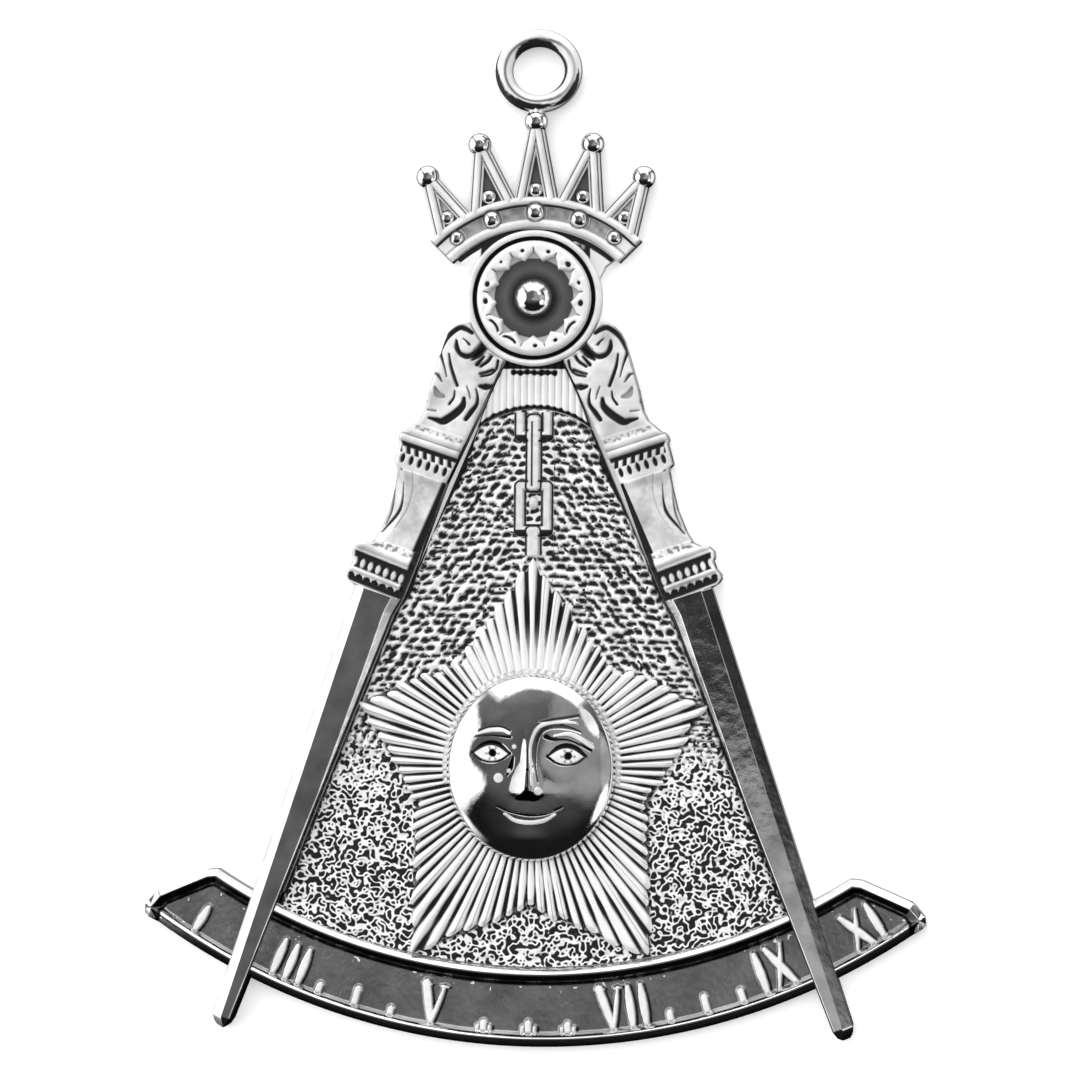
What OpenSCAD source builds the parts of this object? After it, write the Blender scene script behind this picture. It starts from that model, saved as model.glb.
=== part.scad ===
// A metal jewel: compasses opened over a numbered arc, a sun in glory between
// the legs, and a crown with a hanging ring above the hinge. It lies on its back,
// with X to the right, Y towards the ring and Z out of its face. Each piece is
// drawn round the hinge's centre and then moved so that the jewel's middle is at X = Y = 0.

/* [Legs] */
// Angle between a leg and the middle line
leg_angle = 18.25; // [17:0.25:19.5]
// From the hinge's centre across to a leg's outer side
leg_offset = 7.2; // [7:0.05:7.6]
// From the hinge's centre along a leg to its tip
leg_reach = 71.4; // [69:0.1:73]
// Thickness of a leg
leg_t = 2.7; // [2.3:0.1:3.4]
// Width of a leg just below its lower collar
shank_w_top = 4.1; // [3.6:0.1:4.5]
// Width of a leg near its tip
shank_w_tip = 1.8; // [1.4:0.1:2.4]
// Width of the slope along a leg's outer edge
outer_bevel = 0.75; // [0.4:0.05:0.9]
// Width of the slope along a leg's inner edge
inner_bevel = 0.35; // [0.2:0.05:0.5]
// From the hinge's centre along a leg to its upper collar
upper_collar_at = 15; // [14.5:0.1:15.5]
// Length of the upper collar along the leg
upper_collar_l = 3.2; // [2.8:0.1:3.6]
// From the hinge's centre along a leg to its lower collar
lower_collar_at = 25.9; // [24.5:0.1:27]
// Length of the lower collar along the leg
lower_collar_l = 3.5; // [3:0.1:4]
// How far the lower collar stands out past the leg's side
collar_out = 1.2; // [0.6:0.1:1.6]
// Height of the collars above the leg's face
collar_h = 0.6; // [0.3:0.1:1]
// Radius of the volute at a leg's head
volute_r = 1.75; // [1.5:0.05:2]
// From the hinge's centre along a leg to the volute's centre
volute_at = 5.9; // [5.5:0.1:6.4]

/* [Arc] */
// From the hinge's centre down to the arc's lower edge
arc_low = 67.1; // [66:0.1:68]
// Radius of the arc's lower edge
arc_r = 59.8; // [58.5:0.1:61]
// Depth of the arc between its two edges
arc_depth = 7.1; // [6:0.1:7.6]
// Angle from the middle line to the arc's tip, seen from the centre of its curve
wing_angle = 36.5; // [35.5:0.05:37.5]
// Thickness of the arc at its sunk floor
floor_t = 1.2; // [0.8:0.1:1.6]
// Width of the arc's rails
rail_w = 1.2; // [0.8:0.1:1.4]
// Height of the arc's rails above the floor
rail_h = 0.8; // [0.5:0.1:1.2]
// Height of the numerals and ticks above the floor
mark_h = 0.5; // [0.2:0.1:0.8]

/* [Field] */
// Thickness of the stippled plate between the legs
plate_t = 1.5; // [1.1:0.1:1.8]
// Distance between the bumps of the stippling
stipple_pitch = 0.9; // [0.8:0.05:1.2]
// Depth of the stippling
stipple_depth = 0.4; // [0.2:0.05:0.6]
// From the hinge's centre down to the top of the plate's arched edge
arch_drop = 9.8; // [9.4:0.1:10.4]
// How far the top of that edge rises above its ends
arch_rise = 1.9; // [1.4:0.1:2.4]
// Width of a link in the raised chain
link_w = 3.6; // [3:0.1:4]
// Length of a link in the raised chain
link_l = 6.1; // [5.5:0.1:6.3]
// Height of the raised chain above the plate
link_h = 0.6; // [0.3:0.1:0.9]

/* [Sun] */
// From the hinge's centre down to the sun's centre
sun_drop = 42; // [41:0.1:43]
// Width of the sun's face
sun_w = 15.1; // [14:0.1:16]
// Height of the sun's face
sun_h = 16.8; // [15.6:0.1:17.6]
// How far the sun's face swells up from its rim
sun_rise = 2.3; // [1.4:0.1:3]
// From the sun's centre to its longest ray
ray_r = 19.9; // [18.5:0.1:20.3]
// Number of rays
ray_count = 86; // [60:2:100]
// Thickness of the glory under the sun's face
glory_t = 0.6; // [0.4:0.1:0.9]

/* [Hinge] */
// Radius of the hinge's round flange
flange_r = 6.1; // [5.8:0.05:6.2]
// Thickness of the flange
flange_t = 1.1; // [0.8:0.1:1.6]
// Radius of the groove inside the flange
groove_r = 5.3; // [5.1:0.05:5.5]
// Height of the scalloped ring above the flange's floor
scallop_h = 0.8; // [0.5:0.1:1.2]
// Number of scallops in the ring
scallop_count = 13; // [10:1:16]
// Radius of the ball at the hinge's centre
ball_r = 1.75; // [1.4:0.05:2.1]
// Thickness of the ribbed plate behind the hinge
head_t = 1.5; // [1:0.1:1.9]
// Distance between the ribs of that plate
rib_pitch = 0.56; // [0.45:0.01:0.8]

/* [Crown] */
// Gap between the hinge's flange and the crown's band
crown_clear = 0.25; // [0.15:0.05:0.5]
// Radius of the lower edge of the crown's band
band_r = 10.65; // [10.2:0.05:11.2]
// Depth of the crown's band
band_depth = 2.8; // [2.2:0.1:3.2]
// Angle from the middle line to the end of the crown's band
band_angle = 43.4; // [41:0.1:45]
// Thickness of the crown at the band's floor
band_t = 1.3; // [1:0.1:1.6]
// Height of the crown's middle point above the band
point_h = 7.2; // [6.4:0.1:8]
// Width of the bars that frame the crown's points
bar_w = 1.1; // [0.8:0.05:1.3]
// Thickness of those bars
bar_t = 1.9; // [1.5:0.1:2.3]
// Radius of the balls on the crown's points
pearl_r = 1.05; // [0.85:0.05:1.2]
// Radius of the beads in the band
bead_r = 0.75; // [0.6:0.05:0.9]

/* [Ring] */
// Diameter of the hole in the hanging ring
ring_hole_d = 4.6; // [4:0.1:5]
// Diameter of the ring's wire
wire_d = 1.6; // [1.3:0.05:1.8]
// How deep the ring's foot is let into the ball below it
ring_sink = 0.45; // [0.3:0.05:0.6]

/* [Fits] */
// Gap between pieces that lie side by side
gap = 0.1; // [0.05:0.05:0.2]

/* [Hidden] */
$fn = 64;

// From the hinge's centre down to the centre of the arc's curve
arc_drop = arc_low - arc_r;
arc_inner_r = arc_r - arc_depth;
collar_end = lower_collar_at + lower_collar_l;
// Length and width of the small foot that widens the shank below its collar
shank_foot_l = 1.6;
shank_foot_w = 0.35;
// Where the inner sides of the legs start below the hinge: along a leg and across it
fan_at = 6;
fan_u = 0.8;
crown_outer_r = band_r + band_depth;
// From the hinge's centre down to the centre of the crown's curve
crown_drop = band_r - flange_r - crown_clear;
// How far cuts run on past what they cut
over = 1;
pearl_z = band_t - 0.1;
top_pearl_y = crown_outer_r + point_h - crown_drop;
ring_foot_y = top_pearl_y + pearl_r - ring_sink;
ring_mid_r = (ring_hole_d + wire_d) / 2;
ring_y = ring_foot_y + ring_mid_r + wire_d / 2 - 0.2;
ring_top_y = ring_y + ring_mid_r + wire_d / 2;
hinge_y = (arc_low - ring_top_y) / 2;
glory_z = plate_t;
sun_z = glory_z + glory_t;
flange_z = head_t;
flange_floor_z = flange_z + flange_t - 0.3;

// Where the table's shares put the points of the crown: angle, height as a share of
// point_h, and the angles of its two feet on the band
CROWN_POINTS = [
    [-32.7, 0.67, -42.6, -26.7],
    [-15.7, 0.79, -26.7, -8.2],
    [0, 1, -8.2, 8.2],
    [15.7, 0.79, 8.2, 26.7],
    [32.7, 0.67, 26.7, 42.6]];
// Angles of the beads in the crown's band
BAND_BEADS = [-36, -19, 0, 19, 36];
// Outline of the arc's tips: share of wing_angle, and share of the arc's depth
WING = [[0.899, 0], [0.923, 0.09], [0.964, 0.4], [0.997, 0.68], [1, 0.92], [0.99, 1]];
// The arc's numerals: angle from the middle line, and letters
NUMERALS = [[-31.4, "I"], [-22.5, "III"], [-8.6, "V"], [8.6, "VII"], [22.5, "IX"], [31.4, "XI"]];
// Angles of the ticks between the numerals
TICKS = [-19.2, -15.9, -12.6, -3.8, 0, 3.8, 12.6, 15.9, 19.2];
// Outline of the glory on its right side: angle, and share of ray_r
GLORY = [[90, 0.945], [55.6, 0.578], [20, 0.824], [-16, 0.543], [-57.5, 1], [-90, 0.628]];
// The chain's links: start as a share of the chain's length, own length as a share of
// link_l, and 1 for a link seen from the front or 0 for one seen from its side
LINKS = [[-0.25, 1, 1], [0.07, 1.03, 0], [0.48, 0.79, 1], [0.765, 1, 0]];
// Relief of the sun's face: x, y, half width, half height and height, the first four as
// shares of half the face's width; x is mirrored where the last column is 1
FACE = [
    [0, -0.06, 0.10, 0.26, 0.6, 0],
    [0, -0.25, 0.13, 0.10, 0.45, 0],
    [0.14, -0.24, 0.08, 0.07, 0.3, 1],
    [0.46, 0.12, 0.22, 0.10, -0.75, 1],
    [0.46, 0.13, 0.15, 0.065, 0.75, 1],
    [0.46, 0.40, 0.26, 0.06, 0.35, 1],
    [0.45, -0.25, 0.28, 0.24, 0.3, 1],
    [0, -0.56, 0.34, 0.035, -0.5, 0],
    [0, -0.66, 0.26, 0.06, 0.3, 0],
    [0, -0.90, 0.22, 0.12, 0.25, 0]];

// Point at u across and v along the right leg
function spot(u, v) = [
    u * cos(leg_angle) + v * sin(leg_angle),
    u * sin(leg_angle) - v * cos(leg_angle)];

// Point at a radius and at an angle from straight down, about a centre that lies drop below the hinge
function below(r, angle, drop) = [r * sin(angle), -drop - r * cos(angle)];

// The same, with the angle taken from straight up
function above(r, angle, drop) = [r * sin(angle), -drop + r * cos(angle)];

function mix(a, b, f) = a + (b - a) * f;

// Inner side of a leg, across from the hinge's centre, at v along it
function inner_u(v) = lookup(v, [
    [fan_at, fan_u],
    [collar_end, leg_offset - shank_w_top - shank_foot_w],
    [collar_end + shank_foot_l, leg_offset - shank_w_top],
    [leg_reach, leg_offset - shank_w_tip]]);

// Edge of what lies between the legs, one gap inside a leg
function edge(v) = spot(inner_u(v) - gap, v);

// Moves a piece from the hinge's frame to the jewel's
module place() {
    translate([0, hinge_y, 0]) children();
}

// Skin through rings of equal counts of points, closed at both ends, which are convex
module loft(rings) {
    n = len(rings[0]);
    last = len(rings) - 1;
    sides = [for (k = [0 : last - 1]) for (i = [0 : n - 1]) each [
        [k * n + i, (k + 1) * n + (i + 1) % n, k * n + (i + 1) % n],
        [k * n + i, (k + 1) * n + i, (k + 1) * n + (i + 1) % n]]];
    first_cap = [for (i = [0 : n - 1]) i];
    last_cap = [for (i = [n - 1 : -1 : 0]) last * n + i];
    polyhedron([for (ring = rings) each ring], concat(sides, [first_cap, last_cap]));
}

// Bar with a ridged top from one point to another
module ridge_bar(from, to, w, side, top) {
    way = to - from;
    translate([from[0], from[1], 0])
        rotate([0, 0, atan2(way[1], way[0])])
            rotate([90, 0, 90])
                linear_extrude(norm(way))
                    polygon([[-w / 2, 0], [w / 2, 0], [w / 2, side], [0.15 * w, top],
                        [-0.15 * w, top], [-w / 2, side]]);
}

// Cross-section of a rail between two radii
module rail_section(r1, r2, side, top) {
    w = r2 - r1;
    polygon([[r1, 0], [r2, 0], [r2, side], [r2 - 0.35 * w, top], [r1 + 0.35 * w, top], [r1, side]]);
}

// Arc

rail_side = floor_t + rail_h / 3;
rail_top = floor_t + rail_h;
band_end = WING[0][0] * wing_angle;

// The arc between its tips: a floor and two rails
module arc_band() {
    edge_w = 0.35 * rail_w;
    rotate_extrude(angle = 2 * band_end, start = 270 - band_end) polygon([
        [arc_inner_r, 0], [arc_r, 0], [arc_r, rail_side], [arc_r - edge_w, rail_top],
        [arc_r - rail_w + edge_w, rail_top], [arc_r - rail_w, rail_side],
        [arc_r - rail_w, floor_t], [arc_inner_r + rail_w, floor_t],
        [arc_inner_r + rail_w, rail_side], [arc_inner_r + rail_w - edge_w, rail_top],
        [arc_inner_r + edge_w, rail_top], [arc_inner_r, rail_side]]);
}

function wing_points(inset) = [for (p = WING) below(
    mix(arc_inner_r + inset, arc_r - inset, p[1]), p[0] * wing_angle - inset, 0)];

// One tip of the arc, whose rails are bars that run on past their corners
module arc_tip() {
    start = 0.98 * band_end;
    outline = wing_points(0.01);
    linear_extrude(floor_t) polygon(concat(outline, [
        below(arc_r - 0.01, start, 0), below(arc_inner_r + 0.01, start, 0)]));
    ends = concat([below(arc_inner_r + rail_w / 2 + 0.05, start, 0)], wing_points(rail_w / 2 + 0.05),
        [below(arc_r - rail_w / 2 - 0.05, start, 0)]);
    for (i = [0 : len(ends) - 2]) {
        way = 0.2 * (ends[i + 1] - ends[i]) / norm(ends[i + 1] - ends[i]);
        drop = 0.02 * (i + 1);
        ridge_bar(ends[i] - way, ends[i + 1] + way, rail_w, rail_side - drop, rail_top - drop);
    }
}

// One stroke of a letter, in the letter's own plane
module stroke(from, to, w) {
    way = to - from;
    translate([from[0], from[1], 0])
        rotate([0, 0, atan2(way[1], way[0])])
            translate([0, -w / 2, 0])
                cube([norm(way), w, mark_h + 0.3]);
}

// Room that a letter takes along the arc
function letter_w(c) = c == "I" ? 1.25 : 2.6;

module letter(c, h) {
    if (c == "I") {
        stroke([0, 0], [0, h], 0.7);
    }
    if (c == "V") {
        stroke([-0.95, h], [0.1, 0], 0.75);
        stroke([0.95, h], [0.1, 0], 0.4);
    }
    if (c == "X") {
        stroke([-0.9, h], [0.9, 0], 0.75);
        stroke([0.9, h], [-0.9, 0], 0.4);
    }
}

// Letters side by side, upright towards the centre of the arc
module numeral(letters) {
    h = arc_depth - 2 * rail_w - 0.5;
    widths = [for (c = letters) letter_w(c)];
    starts = [for (i = 0, x = 0; i < len(widths); x = x + widths[i], i = i + 1) x];
    whole = starts[len(starts) - 1] + widths[len(widths) - 1];
    for (i = [0 : len(widths) - 1])
        translate([starts[i] + widths[i] / 2 - whole / 2, 0, 0]) letter(letters[i], h);
}

// Numerals and ticks, sunk a little into the floor
module arc_marks() {
    foot_r = arc_r - rail_w - 0.2;
    for (n = NUMERALS)
        rotate([0, 0, n[0]]) translate([0, -foot_r, floor_t - 0.3]) numeral(n[1]);
    for (t = TICKS)
        rotate([0, 0, t]) translate([0, -foot_r + 0.35, floor_t - 0.3])
            cylinder(r1 = 0.65, r2 = 0.35, h = mark_h + 0.3);
}

// Plan of the right leg where it crosses the arc, one gap wider on each side
module leg_plan() {
    v1 = collar_end + shank_foot_l;
    v2 = leg_reach + 2;
    polygon([edge(v1), spot(leg_offset + gap, v1), spot(leg_offset + gap, v2), edge(v2)]);
}

module quadrant_arc() {
    color("silver") place() difference() {
        translate([0, -arc_drop, 0]) union() {
            arc_band();
            arc_tip();
            mirror([1, 0, 0]) arc_tip();
            arc_marks();
        }
        for (side = [0, 1]) mirror([side, 0, 0])
            translate([0, 0, floor_t]) linear_extrude(rail_h + mark_h + over) leg_plan();
    }
}

// Field plate

// Joins two rows of points, with na and nb steps and first points a and b, by triangles
function zip(a, na, b, nb, i = 0, k = 0) =
    i == na && k == nb ? []
    : k == nb || (i < na && (i + 1) / na <= (k + 1) / nb)
        ? concat([[a + i, b + k, a + i + 1]], zip(a, na, b, nb, i + 1, k))
        : concat([[a + i, b + k, b + k + 1]], zip(a, na, b, nb, i, k + 1));

// Sum of the first n numbers of a list
function total(list, n) =
    n <= 0 ? 0 : [for (i = 0, s = 0; i < n; s = s + list[i], i = i + 1) s + list[i]][n - 1];

// Outline of the glory: radius at an angle from the X axis
function glory_r(angle) =
    let (turned = (angle + 450) % 360 - 90,
        a = turned > 90 ? 180 - turned : turned,
        k = [for (i = [0 : len(GLORY) - 2]) if (a >= GLORY[i + 1][0]) i][0],
        p = GLORY[k],
        q = GLORY[k + 1])
    ray_r * p[1] * q[1] * sin(p[0] - q[0]) / (p[1] * sin(p[0] - a) + q[1] * sin(a - q[0]));

// How far the point p lies inside the glory's outline
function inside_glory(p) =
    let (q = [p[0], p[1] + sun_drop])
    norm(q) < 0.1 ? ray_r : glory_r(atan2(q[1], q[0])) - norm(q);

// Whole length of the raised chain
chain_l = sun_drop - arch_drop - ray_r * GLORY[0][1] - 5 * gap;
// Where the plate's arched edge meets the legs, along a leg
arch_v = (arch_drop + arch_rise + inner_u(arch_drop) * sin(leg_angle)) / cos(leg_angle);

module field_plate() {
    r = arc_inner_r - gap;
    first_v = collar_end + shank_foot_l;
    p0 = edge(first_v);
    p1 = edge(leg_reach);
    way = (p1 - p0) / (leg_reach - first_v);
    w = p0 + [0, arc_drop];
    reach = (-w * way + sqrt((w * way) ^ 2 - way * way * (w * w - r * r))) / (way * way);
    low_v = first_v + reach;
    rows = round((low_v - arch_v) / stipple_pitch);
    edges = [for (j = [0 : rows]) edge(mix(low_v, arch_v + gap, j / rows))];
    steps = [for (e = edges) round(2 * e[0] / stipple_pitch)];
    firsts = [for (j = [0 : rows]) total(steps, j) + j];
    count = total(steps, rows + 1) + rows + 1;
    noise = rands(0, 1, count, 11);
    middles = [for (j = [0 : rows]) mix(-arc_drop - r, -arch_drop - gap, j / rows)];
    top = [for (j = [0 : rows]) for (i = [0 : steps[j]])
        let (s = 2 * i / steps[j] - 1,
            p = [s * edges[j][0], mix(middles[j], edges[j][1], s * s)],
            rim = i == 0 || i == steps[j] || j == 0 || j == rows,
            under_glory = inside_glory(p) > -stipple_pitch / 4,
            under_chain = abs(p[0]) < link_w / 2 && p[1] > -sun_drop,
            depth = under_glory || under_chain ? 0 : rim ? 1 : noise[firsts[j] + i])
        [p[0], p[1], plate_t - stipple_depth * depth]];
    low_row = [for (i = [0 : steps[0]]) top[i]];
    high_row = [for (i = [0 : steps[rows]]) top[firsts[rows] + i]];
    sides = [for (j = [1 : rows - 1]) each [top[firsts[j]], top[firsts[j] + steps[j]]]];
    bottom = [for (p = concat(low_row, sides, high_row)) [p[0], p[1], 0]];
    n = steps[0];
    m = steps[rows];
    high_first = count + n + 1 + 2 * (rows - 1);
    lefts = [for (j = [0 : rows])
        j == 0 ? count : j == rows ? high_first : count + n + 1 + 2 * (j - 1)];
    rights = [for (j = [0 : rows]) j == 0 ? count + n : j == rows ? high_first + m : lefts[j] + 1];
    skin = [for (j = [0 : rows - 1]) each zip(firsts[j], steps[j], firsts[j + 1], steps[j + 1])];
    base = concat(
        [for (i = [1 : n - 1]) [count, count + i + 1, count + i]],
        [for (i = [1 : m - 1]) [high_first, high_first + i, high_first + i + 1]],
        [for (j = [0 : rows - 1]) each [
            [lefts[j], rights[j], lefts[j + 1]],
            [rights[j], rights[j + 1], lefts[j + 1]]]]);
    walls = concat(
        [for (i = [0 : n - 1]) each [[i, i + 1, count + i + 1], [i, count + i + 1, count + i]]],
        [for (i = [0 : m - 1]) let (a = firsts[rows] + i, b = high_first + i) each [
            [a, b + 1, a + 1], [a, b, b + 1]]],
        [for (j = [0 : rows - 1]) let (a = firsts[j], b = firsts[j + 1]) each [
            [a, lefts[j], lefts[j + 1]], [a, lefts[j + 1], b]]],
        [for (j = [0 : rows - 1]) let (a = firsts[j] + steps[j], b = firsts[j + 1] + steps[j + 1]) each [
            [a, rights[j + 1], rights[j]], [a, b, rights[j + 1]]]]);
    color("gainsboro") place() polyhedron(concat(top, bottom), concat(skin, base, walls));
}

// Chain relief

module long_round(w, l) {
    translate([0, (l - w) / 2]) circle(w / 2);
    translate([0, -(l - w) / 2]) circle(w / 2);
    square([w, l - w], center = true);
}

module link_front(l) {
    wire = 0.27 * link_w;
    linear_extrude(link_h) difference() {
        long_round(link_w, l);
        long_round(link_w - 2 * wire, l - 2 * wire);
    }
}

module link_side(l) {
    linear_extrude(0.8 * link_h) long_round(0.42 * link_w, l);
}

module chain_relief() {
    start = -arch_drop - 4 * gap;
    color("silver") place() intersection() {
        union() for (l = LINKS) translate([0, start - chain_l * l[0] - link_l * l[1] / 2, plate_t]) {
            if (l[2] == 1) link_front(link_l * l[1]);
            if (l[2] == 0) link_side(link_l * l[1]);
        }
        translate([-link_w, start - chain_l, 0]) cube([2 * link_w, chain_l, plate_t + 2 * link_h]);
    }
}

// Sun

// Point of the sun's outline at an angle, at a share of its size, with a margin outside it
function sun_point(angle, share, margin = 0) = [
    (share * sun_w / 2 + margin) * cos(angle),
    (share * sun_h / 2 + margin) * sin(angle)];

module sun_glory() {
    n = 2 * ray_count;
    ridge = 0.3 * glory_t;
    inner = [for (i = [0 : n - 1]) let (p = sun_point(90 + 360 * i / n, 1, 0.05))
        [p[0], p[1], glory_t]];
    start = [for (i = [0 : n - 1]) let (p = sun_point(90 + 360 * i / n, 1, 0.35))
        [p[0], p[1], glory_t + (i % 2 == 0 ? ridge : -ridge)]];
    tips = [for (i = [0 : n - 1])
        let (a = 90 + 360 * i / n, r = glory_r(a) - (i % 2 == 0 ? 0 : 0.8))
        [r * cos(a), r * sin(a), i % 2 == 0 ? glory_t - ridge : glory_t / 3]];
    foot = [for (p = tips) [p[0], p[1], 0]];
    points = concat(inner, start, tips, foot, [[0, 0, glory_t], [0, 0, 0]]);
    rings = [for (k = [0 : 2]) for (i = [0 : n - 1]) let (j = (i + 1) % n) each [
        [k * n + i, (k + 1) * n + j, (k + 1) * n + i],
        [k * n + i, k * n + j, (k + 1) * n + j]]];
    caps = [for (i = [0 : n - 1]) let (j = (i + 1) % n) each [
        [4 * n, j, i],
        [4 * n + 1, 3 * n + i, 3 * n + j]]];
    color("silver") place() translate([0, -sun_drop, glory_z]) polyhedron(points, concat(rings, caps));
}

function swell(x, y, f) = f[4] * exp(-((x - f[0]) / f[2]) ^ 2 - ((y - f[1]) / f[3]) ^ 2);

// Height of the sun's face at x and y, as shares of half its width, and r of its outline
function face_z(x, y, r) =
    sun_rise * (0.35 + 0.65 * sqrt(max(0, 1 - r ^ 2.4)))
    + (1 - r ^ 4) * sum([for (f = FACE) swell(f[5] == 1 ? abs(x) : x, y, f)]);

function sum(list) = list * [for (i = list) 1];

module sun_face() {
    n = 60;
    rings = 17;
    wall = 0.4;
    half = sun_w / 2;
    top = [for (k = [rings : -1 : 1]) for (i = [0 : n - 1])
        let (share = (k / rings) ^ 0.85, p = sun_point(360 * i / n, share))
        [p[0], p[1], wall + face_z(p[0] / half, p[1] / half, share)]];
    foot = [for (i = [0 : n - 1]) let (p = sun_point(360 * i / n, 1)) [p[0], p[1], 0]];
    points = concat(foot, top, [[0, 0, wall + face_z(0, 0, 0)], [0, 0, 0]]);
    middle = (rings + 1) * n;
    bands = [for (k = [0 : rings - 1]) for (i = [0 : n - 1]) let (j = (i + 1) % n) each [
        [k * n + i, (k + 1) * n + i, (k + 1) * n + j],
        [k * n + i, (k + 1) * n + j, k * n + j]]];
    caps = [for (i = [0 : n - 1]) let (j = (i + 1) % n) each [
        [rings * n + i, middle, rings * n + j],
        [i, j, middle + 1]]];
    color("lightgray") place() translate([0, -sun_drop, sun_z]) polyhedron(points, concat(bands, caps));
}

// Legs, drawn with X across the leg and Y back towards the hinge

// Cross-section of a leg at v along it, between u1 and u2 across it
function leg_ring(v, u1, u2, t, bevel1, bevel2) = [
    [u1, -v, 0], [u2, -v, 0], [u2, -v, t - 0.9 * bevel2],
    [u2 - bevel2, -v, t], [u1 + bevel1, -v, t], [u1, -v, t - 0.9 * bevel1]];

module shank() {
    round_at = leg_reach - shank_w_tip / 2;
    loft([
        leg_ring(collar_end, inner_u(collar_end), leg_offset, leg_t, inner_bevel, outer_bevel),
        leg_ring(collar_end + shank_foot_l, inner_u(collar_end + shank_foot_l), leg_offset,
            leg_t, inner_bevel, outer_bevel),
        leg_ring(round_at, inner_u(round_at), leg_offset, leg_t, inner_bevel, outer_bevel),
        leg_ring(leg_reach - 0.25 * shank_w_tip, inner_u(leg_reach) + 0.12 * shank_w_tip,
            leg_offset - 0.12 * shank_w_tip, leg_t - 0.2, inner_bevel, outer_bevel),
        leg_ring(leg_reach, inner_u(leg_reach) + 0.35 * shank_w_tip,
            leg_offset - 0.35 * shank_w_tip, leg_t - 0.8, inner_bevel / 3, outer_bevel / 3)]);
}

module waist() {
    v1 = upper_collar_at + upper_collar_l;
    v2 = lower_collar_at;
    out = leg_offset - 0.45;
    loft([for (v = [v1, mix(v1, v2, 0.35), mix(v1, v2, 0.7), v2])
        leg_ring(v, inner_u(v), out - 0.35 * sin(180 * (v - v1) / (v2 - v1)), leg_t,
            inner_bevel, outer_bevel)]);
}

// One moulding across a leg
module moulding(v, r, u1, u2, z) {
    hull() {
        translate([u1, -v, z]) rotate([0, 90, 0]) cylinder(r = r, h = u2 - u1, $fn = 10);
        translate([u1, -v - r, 0]) cube([u2 - u1, 2 * r, 0.1]);
    }
}

module collar(at, l, out) {
    u1 = inner_u(at + l);
    top = leg_t + collar_h;
    teeth = 8;
    step = (out - u1) / teeth;
    translate([u1, -at - l, 0]) cube([out - u1 - 0.2, l, leg_t]);
    moulding(at + 0.16 * l, 0.15 * l, u1, out, top - 0.15 * l);
    moulding(at + 0.58 * l, 0.1 * l, u1, out - 0.1, top - 0.15 * l);
    for (row = [0.36, 0.82])
        for (i = [0 : teeth - 1])
            hull() {
                translate([u1 + (i + 0.2) * step, -at - (row + 0.12) * l, 0])
                    cube([0.6 * step, 0.24 * l, leg_t]);
                translate([u1 + (i + 0.35) * step, -at - (row + 0.06) * l, 0])
                    cube([0.3 * step, 0.12 * l, top - 0.2]);
            }
}

// Raised ridge along a row of points
module ridge(points, w, z1, z2) {
    for (i = [0 : len(points) - 2])
        hull() for (p = [points[i], points[i + 1]])
            translate([p[0], p[1], z1]) cylinder(r1 = w / 2, r2 = w / 5, h = z2 - z1, $fn = 6);
}

module scroll() {
    head = [leg_offset - 0.5 - volute_r, -volute_at];
    foot_in = inner_u(upper_collar_at);
    foot_out = leg_offset - 0.1;
    side = leg_offset - 0.9;
    t = leg_t - 0.3;
    linear_extrude(t) {
        translate(head) circle(volute_r, $fn = 28);
        polygon([
            [fan_u, -fan_at + 0.6], [mix(fan_u, head[0], 0.6), -volute_at + 1.5],
            [head[0] + 0.9 * volute_r, -volute_at], [side + 0.1, -volute_at - 2.5],
            [side, -upper_collar_at + 3.4], [side + 0.15, -upper_collar_at + 1.4],
            [foot_out, -upper_collar_at], [foot_in, -upper_collar_at]]);
    }
    turns = 560;
    spiral = [for (a = [0 : 40 : turns]) let (r = 0.25 + (volute_r - 0.6) * a / turns)
        head + r * [cos(a - 20), sin(a - 20)]];
    sweep = [spiral[len(spiral) - 1], [side - 0.4, -volute_at - 1.5], [side - 0.9, -volute_at - 4],
        [side - 1.6, -upper_collar_at + 3.2], [side - 2.6, -upper_collar_at + 2.2]];
    ridge(spiral, 0.6, t - 0.1, t + 0.6);
    ridge(sweep, 0.8, t - 0.1, t + 0.5);
    ridge([[fan_u + 0.4, -fan_at], [foot_in + 0.4, -upper_collar_at]], 0.6, t - 0.1, t + 0.5);
    for (i = [0 : 2])
        ridge([
            [side - 0.5, -volute_at - 4 - i * 1.1],
            [side - 0.2 - 0.5 * i, -volute_at - 5.2 - i * 1.1],
            [side - 1.5 - 0.5 * i, -volute_at - 6 - i * 0.8]], 0.5, t - 0.1, t + 0.35);
    for (i = [0 : 2])
        ridge([
            [fan_u + 0.9, -volute_at - 1 - i * 0.8],
            [head[0] - volute_r + 0.2, -volute_at - 0.4 - i * 0.8]], 0.4, t - 0.1, t + 0.3);
}

module right_half() {
    difference() {
        rotate([0, 0, leg_angle]) {
            shank();
            waist();
            collar(upper_collar_at, upper_collar_l, leg_offset + 0.35);
            collar(lower_collar_at, lower_collar_l, leg_offset + collar_out);
            scroll();
        }
        translate([0, 0, -over])
            cylinder(r = flange_r + gap, h = leg_t + collar_h + 2 * over, $fn = 96);
        translate([0, -arc_drop, -over]) linear_extrude(floor_t + over) difference() {
            circle(arc_r + gap, $fn = 240);
            circle(arc_inner_r - gap, $fn = 240);
        }
    }
}

module left_leg() {
    color("darkgray") place() mirror([1, 0, 0]) right_half();
}

module right_leg() {
    color("darkgray") place() right_half();
}

// Head

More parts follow.
